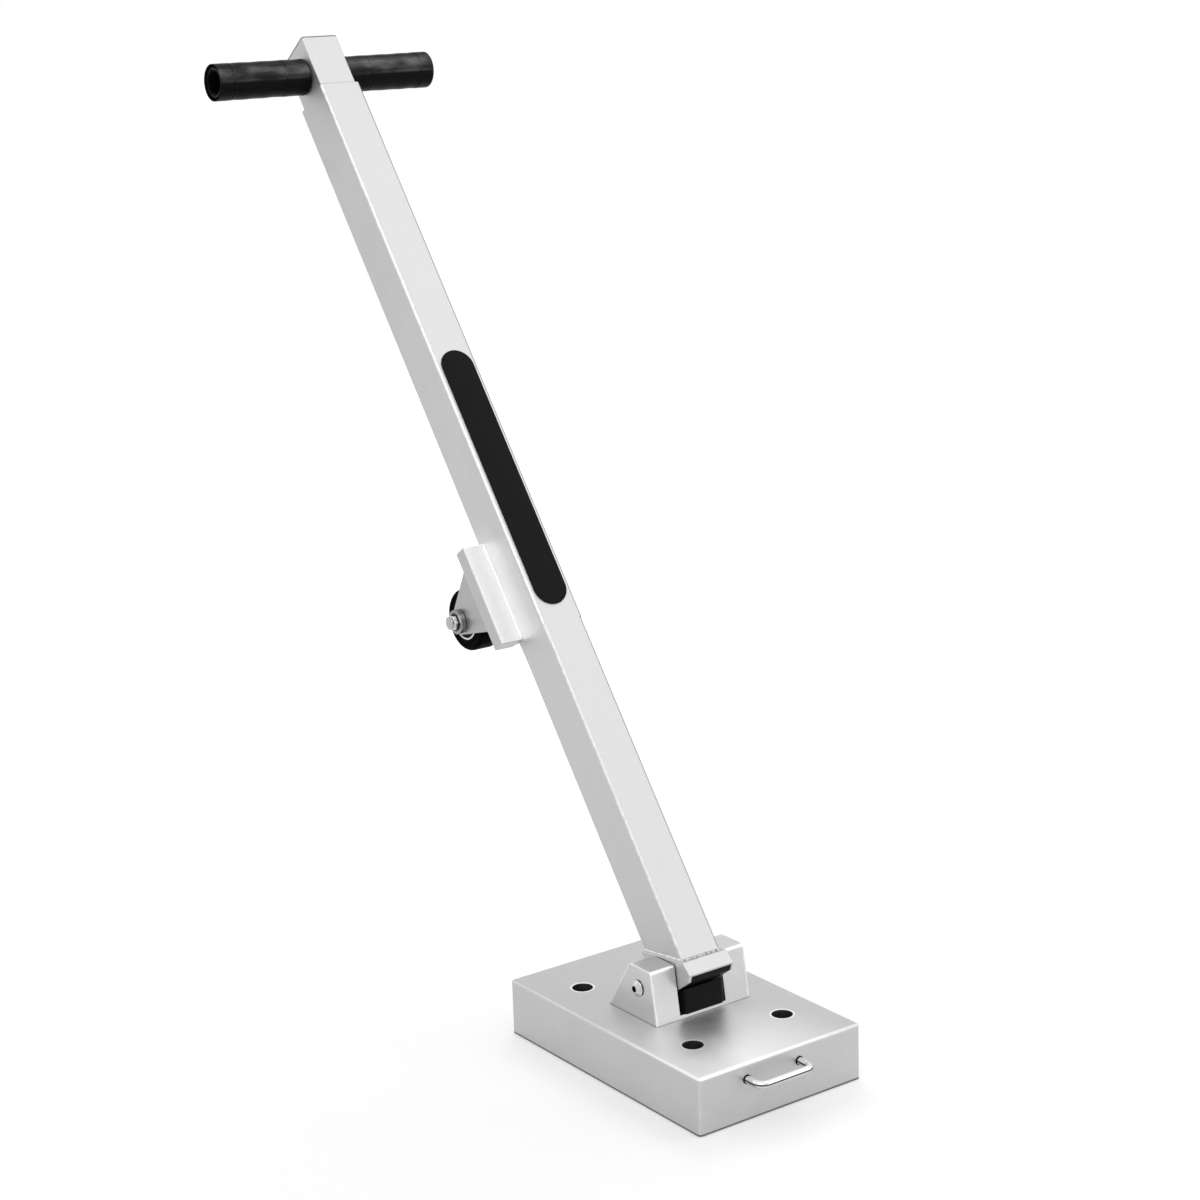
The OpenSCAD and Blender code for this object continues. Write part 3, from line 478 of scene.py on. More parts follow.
def footUnderShade(tree, x, y, z):
    # Painted shade on the underside that lands on the buffer: what lies under the line from the
    # flange's lower edge to the toe, and under the flat behind it, but not the ends or a thin strip in front.
    s = footShape
    low, high = leverSpan("lever_foot")
    steep = (low[2] + s["lipDown"]) / s["toeIn"]
    line = plus(tree, times(tree, minus(tree, y, low[1] * mm), steep), (s["lift"] - s["lipDown"]) * mm)
    under = most(tree, mathNode(tree, "LESS_THAN", z, line), within(tree, z, low[2] + s["flat"]))
    strip = within(tree, z, -s["lipDown"] - s["strip"])
    return times(tree, under, strip, within(tree, awayFrom(tree, x), high[0] - s["ends"]))


# The brushed span and the reflection keys place a painted reflection beside the saddle; the corner keys a
# line of painted shade.
tubeMarks = {"sideDeep": 1.5, "brushed": (-30.0, 0.0), "reflectionShare": 0.5, "reflectionStart": (-22.0, 8.0),
             "reflectionEnd": (20.0, -6.0), "corner": (-2.9, -2.2), "cornerDark": 0.8, "cornerDeep": 3.0,
             "seam": (-0.1, 0.1)}
tubeMiddle = tuple(onLever(0.0, (tubeLow[1] + tubeHigh[1]) / 2, 0.0))
tubeHalf = (tubeHigh[0] * mm, (tubeHigh[1] - tubeLow[1]) / 2 * mm, 10.0)      # so long that no end is rubbed


def besideSaddle(tree, x, y, z):
    # Painted reflection on the tube's sides ahead of the saddle's weld, fading to the front and past its
    # ends.
    s = tubeMarks
    side = beyond(tree, awayFrom(tree, x), tubeHigh[0] - s["sideDeep"])
    ahead = saddleLow[1] - (tubeLow[1] + tubeHigh[1]) / 2
    near = fade(tree, y, s["brushed"], (0.0, s["reflectionShare"]), start=ahead)
    return times(tree, side, near, fade(tree, z, s["reflectionStart"], start=saddleLow[2]),
                 fade(tree, z, s["reflectionEnd"], start=saddleHigh[2]))


def rightCorner(tree, x, y, z):
    # A thin line of painted shade down the front right corner of both tubes, which differ a little in width.
    s = tubeMarks
    wide = fade(tree, z, s["seam"], (lowerHigh[0] * mm, tubeHigh[0] * mm), start=tubeLow[2])
    line = fade(tree, minus(tree, x, wide), s["corner"], (0.0, s["cornerDark"]))
    return times(tree, line, within(tree, y, s["cornerDeep"] - tubeHalf[1] / mm))


saddleMarks = {"end": (0.6, 1.6), "side": (-1.2, -0.4), "shadeShare": 0.75}
saddleMiddle = tuple(onLever(0.0, (saddleLow[1] + saddleHigh[1]) / 2, (saddleLow[2] + saddleHigh[2]) / 2))
saddleHalf = tuple((saddleHigh - saddleLow) / 2 * mm)


def saddleShade(tree, x, y, z):
    # Painted shade: the saddle's sawn lower end and its outer sides are darker than its face.
    s = saddleMarks
    end = fade(tree, z, s["end"], (s["shadeShare"], 0.0), start=-saddleHalf[2] / mm)
    side = fade(tree, awayFrom(tree, x), s["side"], (0.0, s["shadeShare"]), start=saddleHalf[0] / mm)
    return most(tree, end, side)


handleMarks = {"ringUp": 2.0, "ring": (0.6, 1.2), "ringDark": 0.35, "edge": (-1.9, -1.2)}


def handleLines(tree, x, y, z):
    # Painted shade: a faint ring where the handle tube stands in the upper tube's mouth, and a dark line
    # along the edge of its top.
    s = handleMarks
    line = awayFrom(tree, z, (tubeHigh[2] + s["ringUp"]) * mm)
    edge = fade(tree, z, s["edge"], start=leverSpan("handle_tube")[1][2])
    return most(tree, fade(tree, line, s["ring"], (s["ringDark"], 0.0)), edge)


rodMarks = {"bright": (1.0, 1.8), "brightShare": 0.95, "lineAt": 0.7, "line": (0.5, 1.0), "lineDark": 0.95,
            "under": (-3.6, -2.9), "underDark": 0.85}


def pullBright(tree, x, y, z):
    # Painted highlight: the upper half of the bent rod is lighter.
    return fade(tree, z, rodMarks["bright"], (0.0, rodMarks["brightShare"]))


def pullDark(tree, x, y, z):
    # Painted reflection and shade along the rod: a thin dark line at its middle and its whole underside.
    s = rodMarks
    line = fade(tree, awayFrom(tree, z, s["lineAt"] * mm), s["line"], (s["lineDark"], 0.0))
    return most(tree, line, fade(tree, z, s["under"], (s["underDark"], 0.0)))


buttonMarks = {"seat": (0.7, 1.3), "socketR": 3.4, "wall": (1.7, 2.3), "floorDark": 0.55}


def buttonDark(tree, x, y, z):
    # Painted shade in the hex socket of a button head, darkest round its wall, and round its seat on the ear.
    s = buttonMarks
    away = reach(tree, y, z)
    seat = fade(tree, awayFrom(tree, x), s["seat"], (1.0, 0.0), start=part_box("hinge_bracket")[1][0] / mm)
    socket = times(tree, within(tree, away, s["socketR"]), fade(tree, away, s["wall"], (s["floorDark"], 1.0)))
    return most(tree, seat, socket)


axleMarks = {"wellFrom": 12.2, "wellRim": 2.0, "seatDeep": 0.3, "dirt": (9.6, 10.8), "hexEdge": (0.0, 0.3),
             "hexShares": (0.9, 0.2)}
boltShape = {"flats": 15.0, "hexTall": 5.0, "capR": 7.25, "shankR": 5.0, "capRound": 0.9, "steps": 96,
             "hexRows": 9, "capSteps": 7, "seatGap": 0.02, "cone": 1.75, "coneIn": 0.15, "poleR": 0.05}


def hubWell(tree, x, y, z):
    # Painted shade in the ring-shaped well of the hub, between its boss and its rim.
    s, away = axleMarks, reach(tree, y, z)
    return times(tree, beyond(tree, away, s["wellFrom"]), within(tree, away, hubR - s["wellRim"]))


def boltDark(tree, x, y, z):
    # Painted shade in the corner where the six-sided head sits on the collar.
    face = beyond(tree, awayFrom(tree, x), boltSeat - axleMarks["seatDeep"])
    return times(tree, face, fade(tree, reach(tree, y, z), axleMarks["dirt"], (1.0, 0.0)))


def hexBright(tree, x, y, z):
    # Painted highlight: the flats of the six-sided head are lighter.
    return fade(tree, awayFrom(tree, x), axleMarks["hexEdge"], axleMarks["hexShares"],
                start=boltSeat + boltShape["hexTall"])


weldShadeMarks = {"scale": 320.0, "span": (0.44, 0.62), "behind": 0.6}


def weldShadeDashes(tree, x, y, z):
    # Dark dashes of painted shade along the front of the weld: noise along the seam, only ahead of the tube's
    # face.
    s = weldShadeMarks
    speck = noise(tree, joined(tree, x), s["scale"], detail=3.0, rough=0.7)
    return times(tree, ramp(tree, speck, *s["span"]), within(tree, y, lowerLow[1] + s["behind"]))


barMarks = {"blackFrom": 118.0}


def barEnds(tree, x, y, z):
    # Painted shade: the bar is blacked where its ends show inside the grips.
    return beyond(tree, awayFrom(tree, x), barMarks["blackFrom"])


# Metals

# In these looks darkened and lightened are the colours of painted shade and painted highlights, and on the
# bracket of its rubbed edges.
satinLook = {"dark": 0.53, "light": 0.615, "tint": (1.0, 1.0, 1.0), "rough": 0.27, "roughCloud": 0.07,
             "roughLines": 0.05, "grain": 560.0, "cloud": 24.0, "across": 1500.0, "along": 26.0,
             "cloudShare": 0.36, "grainShare": 0.44, "lineShare": 0.2, "lineHeight": 0.25, "bump": 0.08,
             "depth": 0.12, "edge": 0.78, "edgeWidth": 2.2, "edgeShare": 0.6, "edgePolish": 0.06}
brightEdge = {"edge": 0.95, "edgeShare": 0.9}
baseLook = {**satinLook, "along": 900.0, "rough": 0.41, "darkened": 0.05, "lightened": 0.9}
# The bracket and the saddle are lighter copies of the satin metal, painted light; the cheek is a darker copy,
# painted shade.
blockLook = {**satinLook, "along": 700.0, "dark": 0.57, "light": 0.67, "lightened": 0.93}
cheekLook = {**satinLook, "dark": 0.36, "light": 0.445, "along": 500.0}
saddleLook = {**satinLook, **brightEdge, "dark": 0.74, "light": 0.83, "edgeWidth": 2.4, "darkened": 0.36}
leverLook = {**satinLook, "dark": 0.545, "light": 0.625, "rough": 0.46}
tubeLook = {**leverLook, **brightEdge, "edgeWidth": 2.6, "lightened": 0.9, "darkened": 0.12}
# The weld bead is a lighter copy of the lever's metal: a painted highlight.
weldLook = {**leverLook, "dark": 0.88, "light": 0.97, "rough": 0.45}
weldShadeLook = {**leverLook, "dark": 0.6, "light": 0.72, "darkened": 0.16}
hubLook = {**satinLook, "dark": 0.5, "light": 0.64, "darkened": 0.14, "rough": 0.2}
steelLook = {**satinLook, "dark": 0.4, "light": 0.52, "rough": 0.24, "darkened": 0.012}
polishedLook = {**satinLook, "rough": 0.1, "roughCloud": 0.05, "roughLines": 0.04, "bump": 0.05}
pullLook = {**polishedLook, "dark": 0.64, "light": 0.74, "lightened": 0.8, "darkened": 0.02}
buttonLook = {**polishedLook, "dark": 0.52, "light": 0.66, "darkened": 0.03}
zincLook = {**satinLook, "dark": 0.26, "light": 0.44, "rough": 0.12, "bump": 0.06, "lightened": 0.74}
collarLook = {**zincLook, "dark": 0.2, "light": 0.36, "darkened": 0.02}
bronzeLook = {**satinLook, "dark": 0.42, "light": 0.56, "tint": (1.15, 0.78, 0.42)}

baseMetal = satinMetal("satinBase", baseLook, 0.0, baseCentre, baseHalf, baseDark, baseLight)
blockMetal = satinMetal("satinBracket", blockLook, lightPlace=bracketEdges)
onHinge = leverLean, atHinge
cheekMetal = satinMetal("satinCheek", cheekLook, *onHinge)
saddleMetal = satinMetal("satinSaddle", saddleLook, leverLean, saddleMiddle, saddleHalf, saddleShade)
leverMetal = satinMetal("satinLever", leverLook, *onHinge)
tubeMetal = satinMetal("satinTube", tubeLook, leverLean, tubeMiddle, tubeHalf, rightCorner, besideSaddle)
footMetal = satinMetal("satinFoot", {**leverLook, "darkened": 0.012}, *onHinge, darkPlace=footUnderShade)
handleMetal = satinMetal("satinHandle", {**leverLook, "darkened": 0.2}, *onHinge, darkPlace=handleLines)
weldMetal = satinMetal("brightWeld", weldLook, *onHinge)
shadedWeld = satinMetal("shadedWeld", weldShadeLook, *onHinge, darkPlace=weldShadeDashes)
hubMetal = satinMetal("hubMetal", hubLook, 0.0, atAxle, darkPlace=hubWell)
barSteel = satinMetal("barSteel", steelLook, darkPlace=barEnds)
plainSteel = satinMetal("plainSteel", steelLook)
pullSteel = satinMetal("pullSteel", pullLook, 0.0, boxHalf("pull_handle")[0], None, pullDark, pullBright)
buttonSteel = satinMetal("buttonSteel", buttonLook, 0.0, atHinge, darkPlace=buttonDark)
zincSteel = satinMetal("boltSteel", zincLook, 0.0, atAxle, lightPlace=hexBright)
collarSteel = satinMetal("collarSteel", collarLook, 0.0, atAxle, darkPlace=boltDark)
bronzeMetal = satinMetal("plainBronze", bronzeLook)
magnetMetal = satinMetal("platedMagnet", {**satinLook, "dark": 0.3, "light": 0.4, "rough": 0.3})
blackSteel = satinMetal("blackedSteel", {**satinLook, "dark": 0.02, "light": 0.045, "rough": 0.36})

# Rubbers and nylon

padLook = {"dark": 0.0065, "light": 0.0105, "rough": 0.58, "shine": 0.08, "cells": 1500.0, "bloom": 60.0,
           "bump": 0.3, "depth": 0.18}
gripWear = {"side": (0.0, -0.995, -0.097), "facing": (0.84, 0.985), "stretch": (22.0, 60.0, 60.0),
            "patch": (0.38, 0.66), "least": 0.18, "rough": 0.18, "index": 1.75}
gripLook = {"dark": 0.0035, "light": 0.006, "rough": 0.36, "shine": 0.05, "cells": 1200.0, "bloom": 55.0,
            "bump": 0.14, "depth": 0.1, "worn": gripWear}
tyreLook = {"dark": 0.0015, "light": 0.0035, "rough": 0.42, "shine": 0.008, "cells": 1300.0, "bloom": 70.0,
            "bump": 0.2, "depth": 0.12}
nylonLook = {"dark": 0.002, "light": 0.004, "rough": 0.4, "shine": 0.05, "cells": 1600.0, "bloom": 80.0,
             "bump": 0.1, "depth": 0.08}
barMiddle = (0.0, *boxHalf("crossbar")[0][1:])
padRubber = blackRubber("padRubber", padLook)
gripRubber = blackRubber("gripRubber", gripLook, leverLean, barMiddle)
tyreRubber = blackRubber("tyreRubber", tyreLook)
blackNylon = blackRubber("blackNylon", nylonLook)
print("materials made:", len(bpy.data.materials))

nodeFinish = (
    (baseMetal, "base_housing"), (blockMetal, "hinge_bracket"), (footMetal, "lever_foot"),
    (tubeMetal, "lower_tube upper_tube"), (leverMetal, "joint_sleeve top_cap lock_boss"),
    (saddleMetal, "wheel_saddle"), (cheekMetal, "left_cheek right_cheek"), (handleMetal, "handle_tube"),
    (hubMetal, "wheel_hub"), (pullSteel, "pull_handle"), (padRubber, "pull_rings"), (barSteel, "crossbar"),
    (buttonSteel, "pivot_screws"), (collarSteel, "axle_collars"), (zincSteel, "axle_nut axle_bolt"),
    (plainSteel, "wear_plate yoke_plate plate_screws bracket_screws pivot_pin sleeve_screws saddle_screws"),
    (plainSteel, "axle_washers wheel_bearings crossbar_screw"), (blackSteel, "lock_screw base_bolts"),
    (magnetMetal, "magnets"), (bronzeMetal, "foot_bushes friction_washers"), (blackNylon, "handle_plug"),
)
for finish, names in nodeFinish:
    for nodeName in names.split():
        for place in nodes[nodeName].material_slots:
            place.material = finish

# Softened edges of the machined pieces, in millimetres
edgeRound = {"base_housing": 1.7, "hinge_bracket": 2.3, "lever_foot": 1.4, "wheel_saddle": 1.5,
             "left_cheek": 0.7, "right_cheek": 0.7, "axle_collars": 1.1, "lock_boss": 0.9, "top_cap": 0.5,
             "handle_tube": 0.35, "wheel_hub": 0.35, "base_bolts": 0.5, "sleeve_screws": 0.4,
             "saddle_screws": 0.4, "crossbar_screw": 0.3, "lock_screw": 0.3, "axle_nut": 0.4}
softening = {"join": 0.001, "flatAngle": 0.5, "segments": 3, "sharpAngle": 32, "weight": 100}


def plainShading():
    # Geometry nodes that drop the imported normals and shade every face smooth, before edges are softened.
    group = bpy.data.node_groups.new("plainShading", "GeometryNodeTree")
    for way in ("INPUT", "OUTPUT"):
        group.interface.new_socket("Geometry", in_out=way, socket_type="NodeSocketGeometry")
    given, result = group.nodes.new("NodeGroupInput"), group.nodes.new("NodeGroupOutput")
    plain = group.nodes.new("GeometryNodeSetMeshNormal")
    plain.mode = "SHARPNESS"
    group.links.new(given.outputs[0], plain.inputs["Mesh"])
    group.links.new(plain.outputs[0], result.inputs[0])
    return group


smoothFaces = plainShading()
for nodeName, width in edgeRound.items():
    node = nodes[nodeName]
    node.modifiers.new("shading", "NODES").node_group = smoothFaces
    node.modifiers.new("join", "WELD").merge_threshold = softening["join"] * mm
    flat = node.modifiers.new("flats", "DECIMATE")
    flat.decimate_type = "DISSOLVE"
    flat.angle_limit = math.radians(softening["flatAngle"])
    soft = node.modifiers.new("softEdges", "BEVEL")
    soft.width = width * mm
    soft.segments = softening["segments"]
    soft.limit_method = "ANGLE"
    soft.angle_limit = math.radians(softening["sharpAngle"])
    node.modifiers.new("evenFlats", "WEIGHTED_NORMAL").weight = softening["weight"]
print("CAD nodes finished, with softened edges on", len(edgeRound))


# Grips and their ends

gripShape = {"endRound": 0.7, "innerRound": 3.2, "flare": 2.6, "flareDeep": 13.0, "flareBend": 0.7,
             "flareSteps": 6, "lipIn": 0.4, "boreGap": 0.02, "grooves": ((17.0, 0.55, 0.6), (83.0, 0.5, 0.5)),
             "wave": 0.3, "waveLength": 27.0, "lean": 0.12, "drift": ((3, 9.0), (2, -14.0)), "fadeOuter": 6.0,
             "fadeInner": 10.0, "steps": 96, "points": 340}


def barAxis(low, high):  # the bar's axis at the middle of the machine
    middle = np.array((low + high) / 2)
    middle[0] = 0.0
    return middle


def gripSurface(node, side):
    # Sleeve on the bar: the outer radius is the bar's grip radius less round ends, less narrow ring grooves
    # (bell curves at set places from the outer end) and less a slow wave; the wave also drifts round the bar.
    # The bore flares out to a thin lip at the outer end.
    s = gripShape
    low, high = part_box(node)
    outer, inner = (high[1] - low[1]) / 2 / mm, barR + s["boreGap"]
    near, far = (low[0] / mm, high[0] / mm) if side > 0 else (-high[0] / mm, -low[0] / mm)
    length = far - near
    t = (1 - np.cos(np.linspace(0, math.pi, s["points"]))) / 2 * length     # close points at both ends
    fromEnd = length - t
    loss = np.zeros_like(t)
    for edge, bend in ((t, s["innerRound"]), (fromEnd, s["endRound"])):
        gap = np.clip(bend - edge, 0, bend)
        loss += bend - np.sqrt(bend ** 2 - gap ** 2)
    for place, wide, deep in s["grooves"]:
        loss += deep * np.exp(-((fromEnd - place) / wide) ** 2)
    turn = np.linspace(0, fullTurn, s["steps"], endpoint=False)
    inside = np.clip((fromEnd - s["grooves"][0][0]) / s["fadeOuter"], 0, 1)
    inside *= np.clip(t / s["fadeInner"], 0, 1)
    swell = 1 - np.cos(fullTurn * t / s["waveLength"])[:, None]
    drift = sum(np.sin(count * turn + t[:, None] / pitch) for count, pitch in s["drift"])
    radius = outer - loss[:, None] - inside[:, None] * (s["wave"] * swell / 2 + s["lean"] * (1 + drift / 2))
    deep = np.linspace(0, 1, s["flareSteps"])
    mouth = np.repeat((inner + s["flare"] * (1 - deep) ** s["flareBend"])[:, None], s["steps"], 1)
    radius = np.vstack([np.full((1, s["steps"]), inner), radius, mouth])
    along = np.concatenate([[near], near + t, far - s["lipIn"] - s["flareDeep"] * deep]) * side
    return skin(turnedGrid(along, radius, barAxis(low, high), s["steps"]), closeRows=True)


for node, side in (("right_grip", 1), ("left_grip", -1)):
    addPiece("soft_" + node, [gripSurface(node, side)], gripRubber, "handle", (node,), sharp=50)

endShape = {"sunk": 1.2, "wall": 1.0, "deep": 13.0, "lip": 0.45, "lipSteps": 6, "skirt": 1.9, "skirtIn": 3.2,
            "throat": (0.3, 1.0), "throatOut": 0.25, "taper": 0.8, "floor": 1.0, "poleR": 0.05, "gap": 0.05,
            "steps": 72}


def endCup(side):
    # Open cup in the bar's end: outside, a round lip, the inner wall and the floor, turned about the bar.
    s = endShape
    low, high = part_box("end_plugs")
    outer, end = barR - s["gap"], high[0] / mm - s["sunk"]
    inner, floor = outer - s["wall"], end - s["deep"]
    back, skirt, under = inner - s["skirtIn"], end - s["skirt"], floor - s["floor"]
    rim = arc((end - s["lip"], outer - s["lip"]), s["lip"], 90, 0, s["lipSteps"])
    throat = end - np.array(s["throat"])
    along = np.concatenate([[skirt, skirt], rim[:, 0], throat, [floor, floor, under, under]])
    radius = np.concatenate([[back, outer], rim[:, 1], [inner + s["throatOut"], inner, inner - s["taper"]],
                             [s["poleR"], s["poleR"], back]])
    return skin(turnedGrid(along * side, radius, barAxis(low, high), s["steps"]), closeRows=True)


addPiece("bar_end_cups", [endCup(1), endCup(-1)], blackNylon, "handle", ("end_plugs",))
print("handle dressed")


# Front pad

padShape = {"rim": 0.9, "rimSteps": 8, "crown": 0.35, "arcSteps": 40, "rings": 12}


def padSurface():
    # Stadium rings: a straight middle line and a radius that shrinks ring by ring. The rings run from the
    # tube's face up the side, round the rim and in over a slightly crowned top.
    s = padShape
    low, high = leverSpan("front_pad")
    half, thick = (high[0] - low[0]) / 2, high[1] - low[1]
    straight = (high[2] - low[2]) / 2 - half
    angle = np.linspace(0, math.pi, s["arcSteps"])
    angle = np.concatenate([angle, angle + math.pi])
    shift = np.where(np.arange(len(angle)) < s["arcSteps"], straight, -straight)
    rim = arc((s["rim"], thick - s["crown"] - s["rim"]), s["rim"], 180, 90, s["rimSteps"])
    inward = np.linspace(s["rim"], half, s["rings"])
    top = thick - s["crown"] * ((half - inward) / (half - s["rim"])) ** 2
    inset = np.concatenate([[half, 0.0], rim[:-1, 0], inward])
    height = np.concatenate([[0.0, 0.0], rim[:-1, 1], top])
    radius = (half - inset)[:, None]
    x = radius * np.cos(angle)
    z = (low[2] + high[2]) / 2 + shift + radius * np.sin(angle)
    y = np.broadcast_to(high[1] - height[:, None], x.shape)
    return skin(onLever(x, y, z), tips=False)


pad = addPiece("grip_pad", [padSurface()], padRubber, "lever", ("front_pad",), sharp=60)


# Rubber buffer

bufferShape = {"round": 1.6, "steps": 6, "topBand": 1.2, "rearBand": 0.3}


def roundedPrism(corners, low, high, rounding, steps):
    # A many-sided outline swept sideways with a ball's rounding: each ring is the shrunken outline pushed out
    # along its corner arcs by the ball's radius at that width.
    corners = np.asarray(corners, float)
    edge = np.roll(corners, -1, 0) - corners
    normal = np.stack([edge[:, 1], -edge[:, 0]], 1) / np.linalg.norm(edge, axis=1)[:, None]
    before = np.roll(normal, 1, 0)
    meet = (before + normal) / (1 + (before * normal).sum(1))[:, None]
    core = np.repeat(corners - rounding * meet, steps, 0)
    start = np.arctan2(before[:, 1], before[:, 0])
    sweep = (np.arctan2(normal[:, 1], normal[:, 0]) - start + math.pi) % fullTurn - math.pi
    angle = start[:, None] + sweep[:, None] * np.linspace(0, 1, steps)
    out = np.stack([np.cos(angle), np.sin(angle)], -1).reshape(-1, 2)
    lift = np.linspace(0, math.pi / 2, steps)
    shrink = np.concatenate([np.cos(lift[::-1]), np.cos(lift)]) * rounding
    across = np.concatenate([low + rounding - rounding * np.sin(lift[::-1]),
                             high - rounding + rounding * np.sin(lift)])
    ring = core[None] + out[None] * shrink[:, None, None]
    across = np.broadcast_to(across[:, None, None], (*ring.shape[:2], 1))
    return skin(mm * np.concatenate([across, ring], -1))


def bufferSurface():
    # The block's own outline seen from the side, with its rear and top corners read from its points.
    s = bufferShape
    points = np.array([v.co for v in nodes["buffer_block"].data.vertices]) / mm
    low, high = points.min(0), points.max(0)
    rise, back = high[2], high[1]
    frontTop = points[points[:, 2] > rise - s["topBand"]][:, 1].min()
    rearTop = points[points[:, 1] > back - s["rearBand"]][:, 2].max()
    outline = [[low[1], low[2]], [back, low[2]], [back, rearTop], [frontTop, rise]]
    return roundedPrism(outline, low[0], high[0], s["round"], s["steps"])


addPiece("stop_buffer", [bufferSurface()], padRubber, "base", ("buffer_block",), sharp=60)
print("pad and buffer made")


# Wheel

tyreShape = {"shoulder": 4.6, "shoulderSteps": 12, "sideHollow": 0.7, "groove": 0.5, "grooveAt": 0.42,
             "grooveWide": 0.05, "wallSteps": 24, "hubGap": 0.05, "steps": 96}


def tyreSurface():
    # Solid tyre turned about the axle: flat tread, round shoulders, slightly hollow side walls with one ring.
    s = tyreShape
    low, high = leverSpan("wheel_tyre")
    half, outer = (high[0] - low[0]) / 2, (high[2] - low[2]) / 2
    wallTop = outer - s["shoulder"]
    shoulder = arc((half - s["shoulder"], wallTop), s["shoulder"], 90, 0, s["shoulderSteps"])
    share = np.linspace(0, 1, s["wallSteps"])[1:]
    wallR = wallTop + share * (hubR + s["hubGap"] - wallTop)
    groove = s["groove"] * np.exp(-((share - s["grooveAt"]) / s["grooveWide"]) ** 2)
    wallX = half - s["sideHollow"] * np.sin(math.pi * share) - groove
    along = np.concatenate([shoulder[:, 0], wallX])
    radius = np.concatenate([shoulder[:, 1], wallR])
    along = np.concatenate([-along[::-1], along])
    radius = np.concatenate([radius[::-1], radius])
    return skin(turnedGrid(along, radius, axle, s["steps"]), closeRows=True)


addPiece("solid_tyre", [tyreSurface()], tyreRubber, "wheel", ("wheel_tyre",))


def hexRadius(steps, flats):
    # Distance from the axis to a hexagon's side, for each direction.
    turn = np.linspace(0, fullTurn, steps, endpoint=False)
    return flats / 2 / np.cos((turn + math.pi / 6) % (math.pi / 3) - math.pi / 6)


def boltSurface():
    # Six-sided head cut off by a cone at both faces, then the round end with a soft edge, and the shank.
    s = boltShape
    low, high = leverSpan("axle_bolt")
    seat, end, tail = boltSeat, -low[0], -high[0]
    hexEnd = seat + s["hexTall"]
    capR, shankR, capRound = s["capR"], s["shankR"], s["capRound"]
    corner = s["flats"] / 2 / math.cos(math.pi / 6)
    hexR = hexRadius(s["steps"], s["flats"])
    hexAlong = np.linspace(seat + s["seatGap"], hexEnd, s["hexRows"])
    cone = np.minimum(hexAlong - seat, hexEnd - hexAlong) * s["cone"] + s["flats"] / 2 - s["coneIn"]
    hexPart = np.minimum(hexR[None, :], np.minimum(cone, corner)[:, None])
    capEdge = arc((end - capRound, capR - capRound), capRound, 90, 0, s["capSteps"])
    capPart = np.concatenate([[capR], capEdge[:, 1], [s["poleR"]]])
    along = np.concatenate([[tail, tail, seat], hexAlong, [hexEnd], capEdge[:, 0], [end]])
    shank = np.array([s["poleR"], shankR, shankR])
    shank, cap = [np.repeat(part[:, None], s["steps"], 1) for part in (shank, capPart)]
    return skin(turnedGrid(-along, np.vstack([shank, hexPart, cap]), axle, s["steps"]))


addPiece("axle_bolt_head", [boltSurface()], zincSteel, "lever", ("axle_bolt",), sharp=25)
print("wheel dressed")


# Weld beads

beadShape = {"sides": 10, "perPass": 6, "fewest": 8, "least": 0.72, "swell": 0.34, "tip": 0.02,
             "aside": (0.31, 0.52, 0.79), "pathPoints": 40}


def beadSurface(path, weld, side=0, closed=False):
    # A round bead carried along a path: its radius swells once a pass of the torch, and wanders a little.
    s, radius, pitch = beadShape, weld["radius"], weld["pitch"] * mm
    path = np.asarray(path, float)
    step = np.linalg.norm(np.diff(path, axis=0), axis=1)
    travel = np.concatenate([[0], np.cumsum(step)])
    count = max(int(travel[-1] / pitch * s["perPass"]), s["fewest"])
    place = np.linspace(0, travel[-1], count, endpoint=not closed)
    line = np.stack([np.interp(place, travel, path[:, i]) for i in range(3)], 1)
    ahead = np.gradient(line, axis=0)
    if closed:
        ahead = np.roll(line, -1, 0) - np.roll(line, 1, 0)
    ahead /= np.linalg.norm(ahead, axis=1)[:, None]
    aside = np.cross(ahead, s["aside"])
    aside /= np.linalg.norm(aside, axis=1)[:, None]
    up = np.cross(aside, ahead)
    wander = np.random.default_rng(weld["seed"] + side).normal(0, 1, count)
    swell = np.abs(np.sin(math.pi * place / pitch))
    size = radius * (s["least"] + s["swell"] * swell + weld["rough"] * wander)
    if not closed:
        size = size * np.sqrt(np.clip(np.minimum(place, travel[-1] - place) / (radius * mm), s["tip"], 1))
    turn = np.linspace(0, fullTurn, s["sides"], endpoint=False)
    ring = aside[:, None] * np.cos(turn)[:, None] + up[:, None] * np.sin(turn)[:, None]
    return skin(line[:, None] + mm * size[:, None, None] * ring, closeRows=closed)


outlineShape = {"corner": 4.0, "steps": 64}
outlineTurn = (np.arange(outlineShape["steps"]) + 0.5) / outlineShape["steps"] * fullTurn


def lowerOutline(outX=0.0, outY=0.0):
    # The lower tube's rounded outline: corner arcs pushed out to the straight sides, grown by outX and outY.
    corner, cos, sin = outlineShape["corner"], np.cos(outlineTurn), np.sin(outlineTurn)
    halfX, halfY = (lowerHigh[:2] - lowerLow[:2]) / 2 - corner
    across = np.sign(cos) * halfX + (corner + outX) * cos
    back = (lowerHigh[1] + lowerLow[1]) / 2 + np.sign(sin) * halfY + (corner + outY) * sin
    return across, back


footWeld = {"radius": 1.7, "pitch": 4.2, "rough": 0.22, "seed": 7, "lift": 0.3, "slope": 32.54 / 58.0}


def footBead():
    # Round the lower tube where it stands on the foot's sloping top.
    across, back = [np.append(part, part[0]) for part in lowerOutline()]
    up = lowerLow[2] + footWeld["slope"] * (back - lowerLow[1]) + footWeld["lift"]
    return beadSurface(onLever(across, back, up), footWeld, closed=True)


addPiece("foot_weld", [footBead()], shadedWeld, "lever")

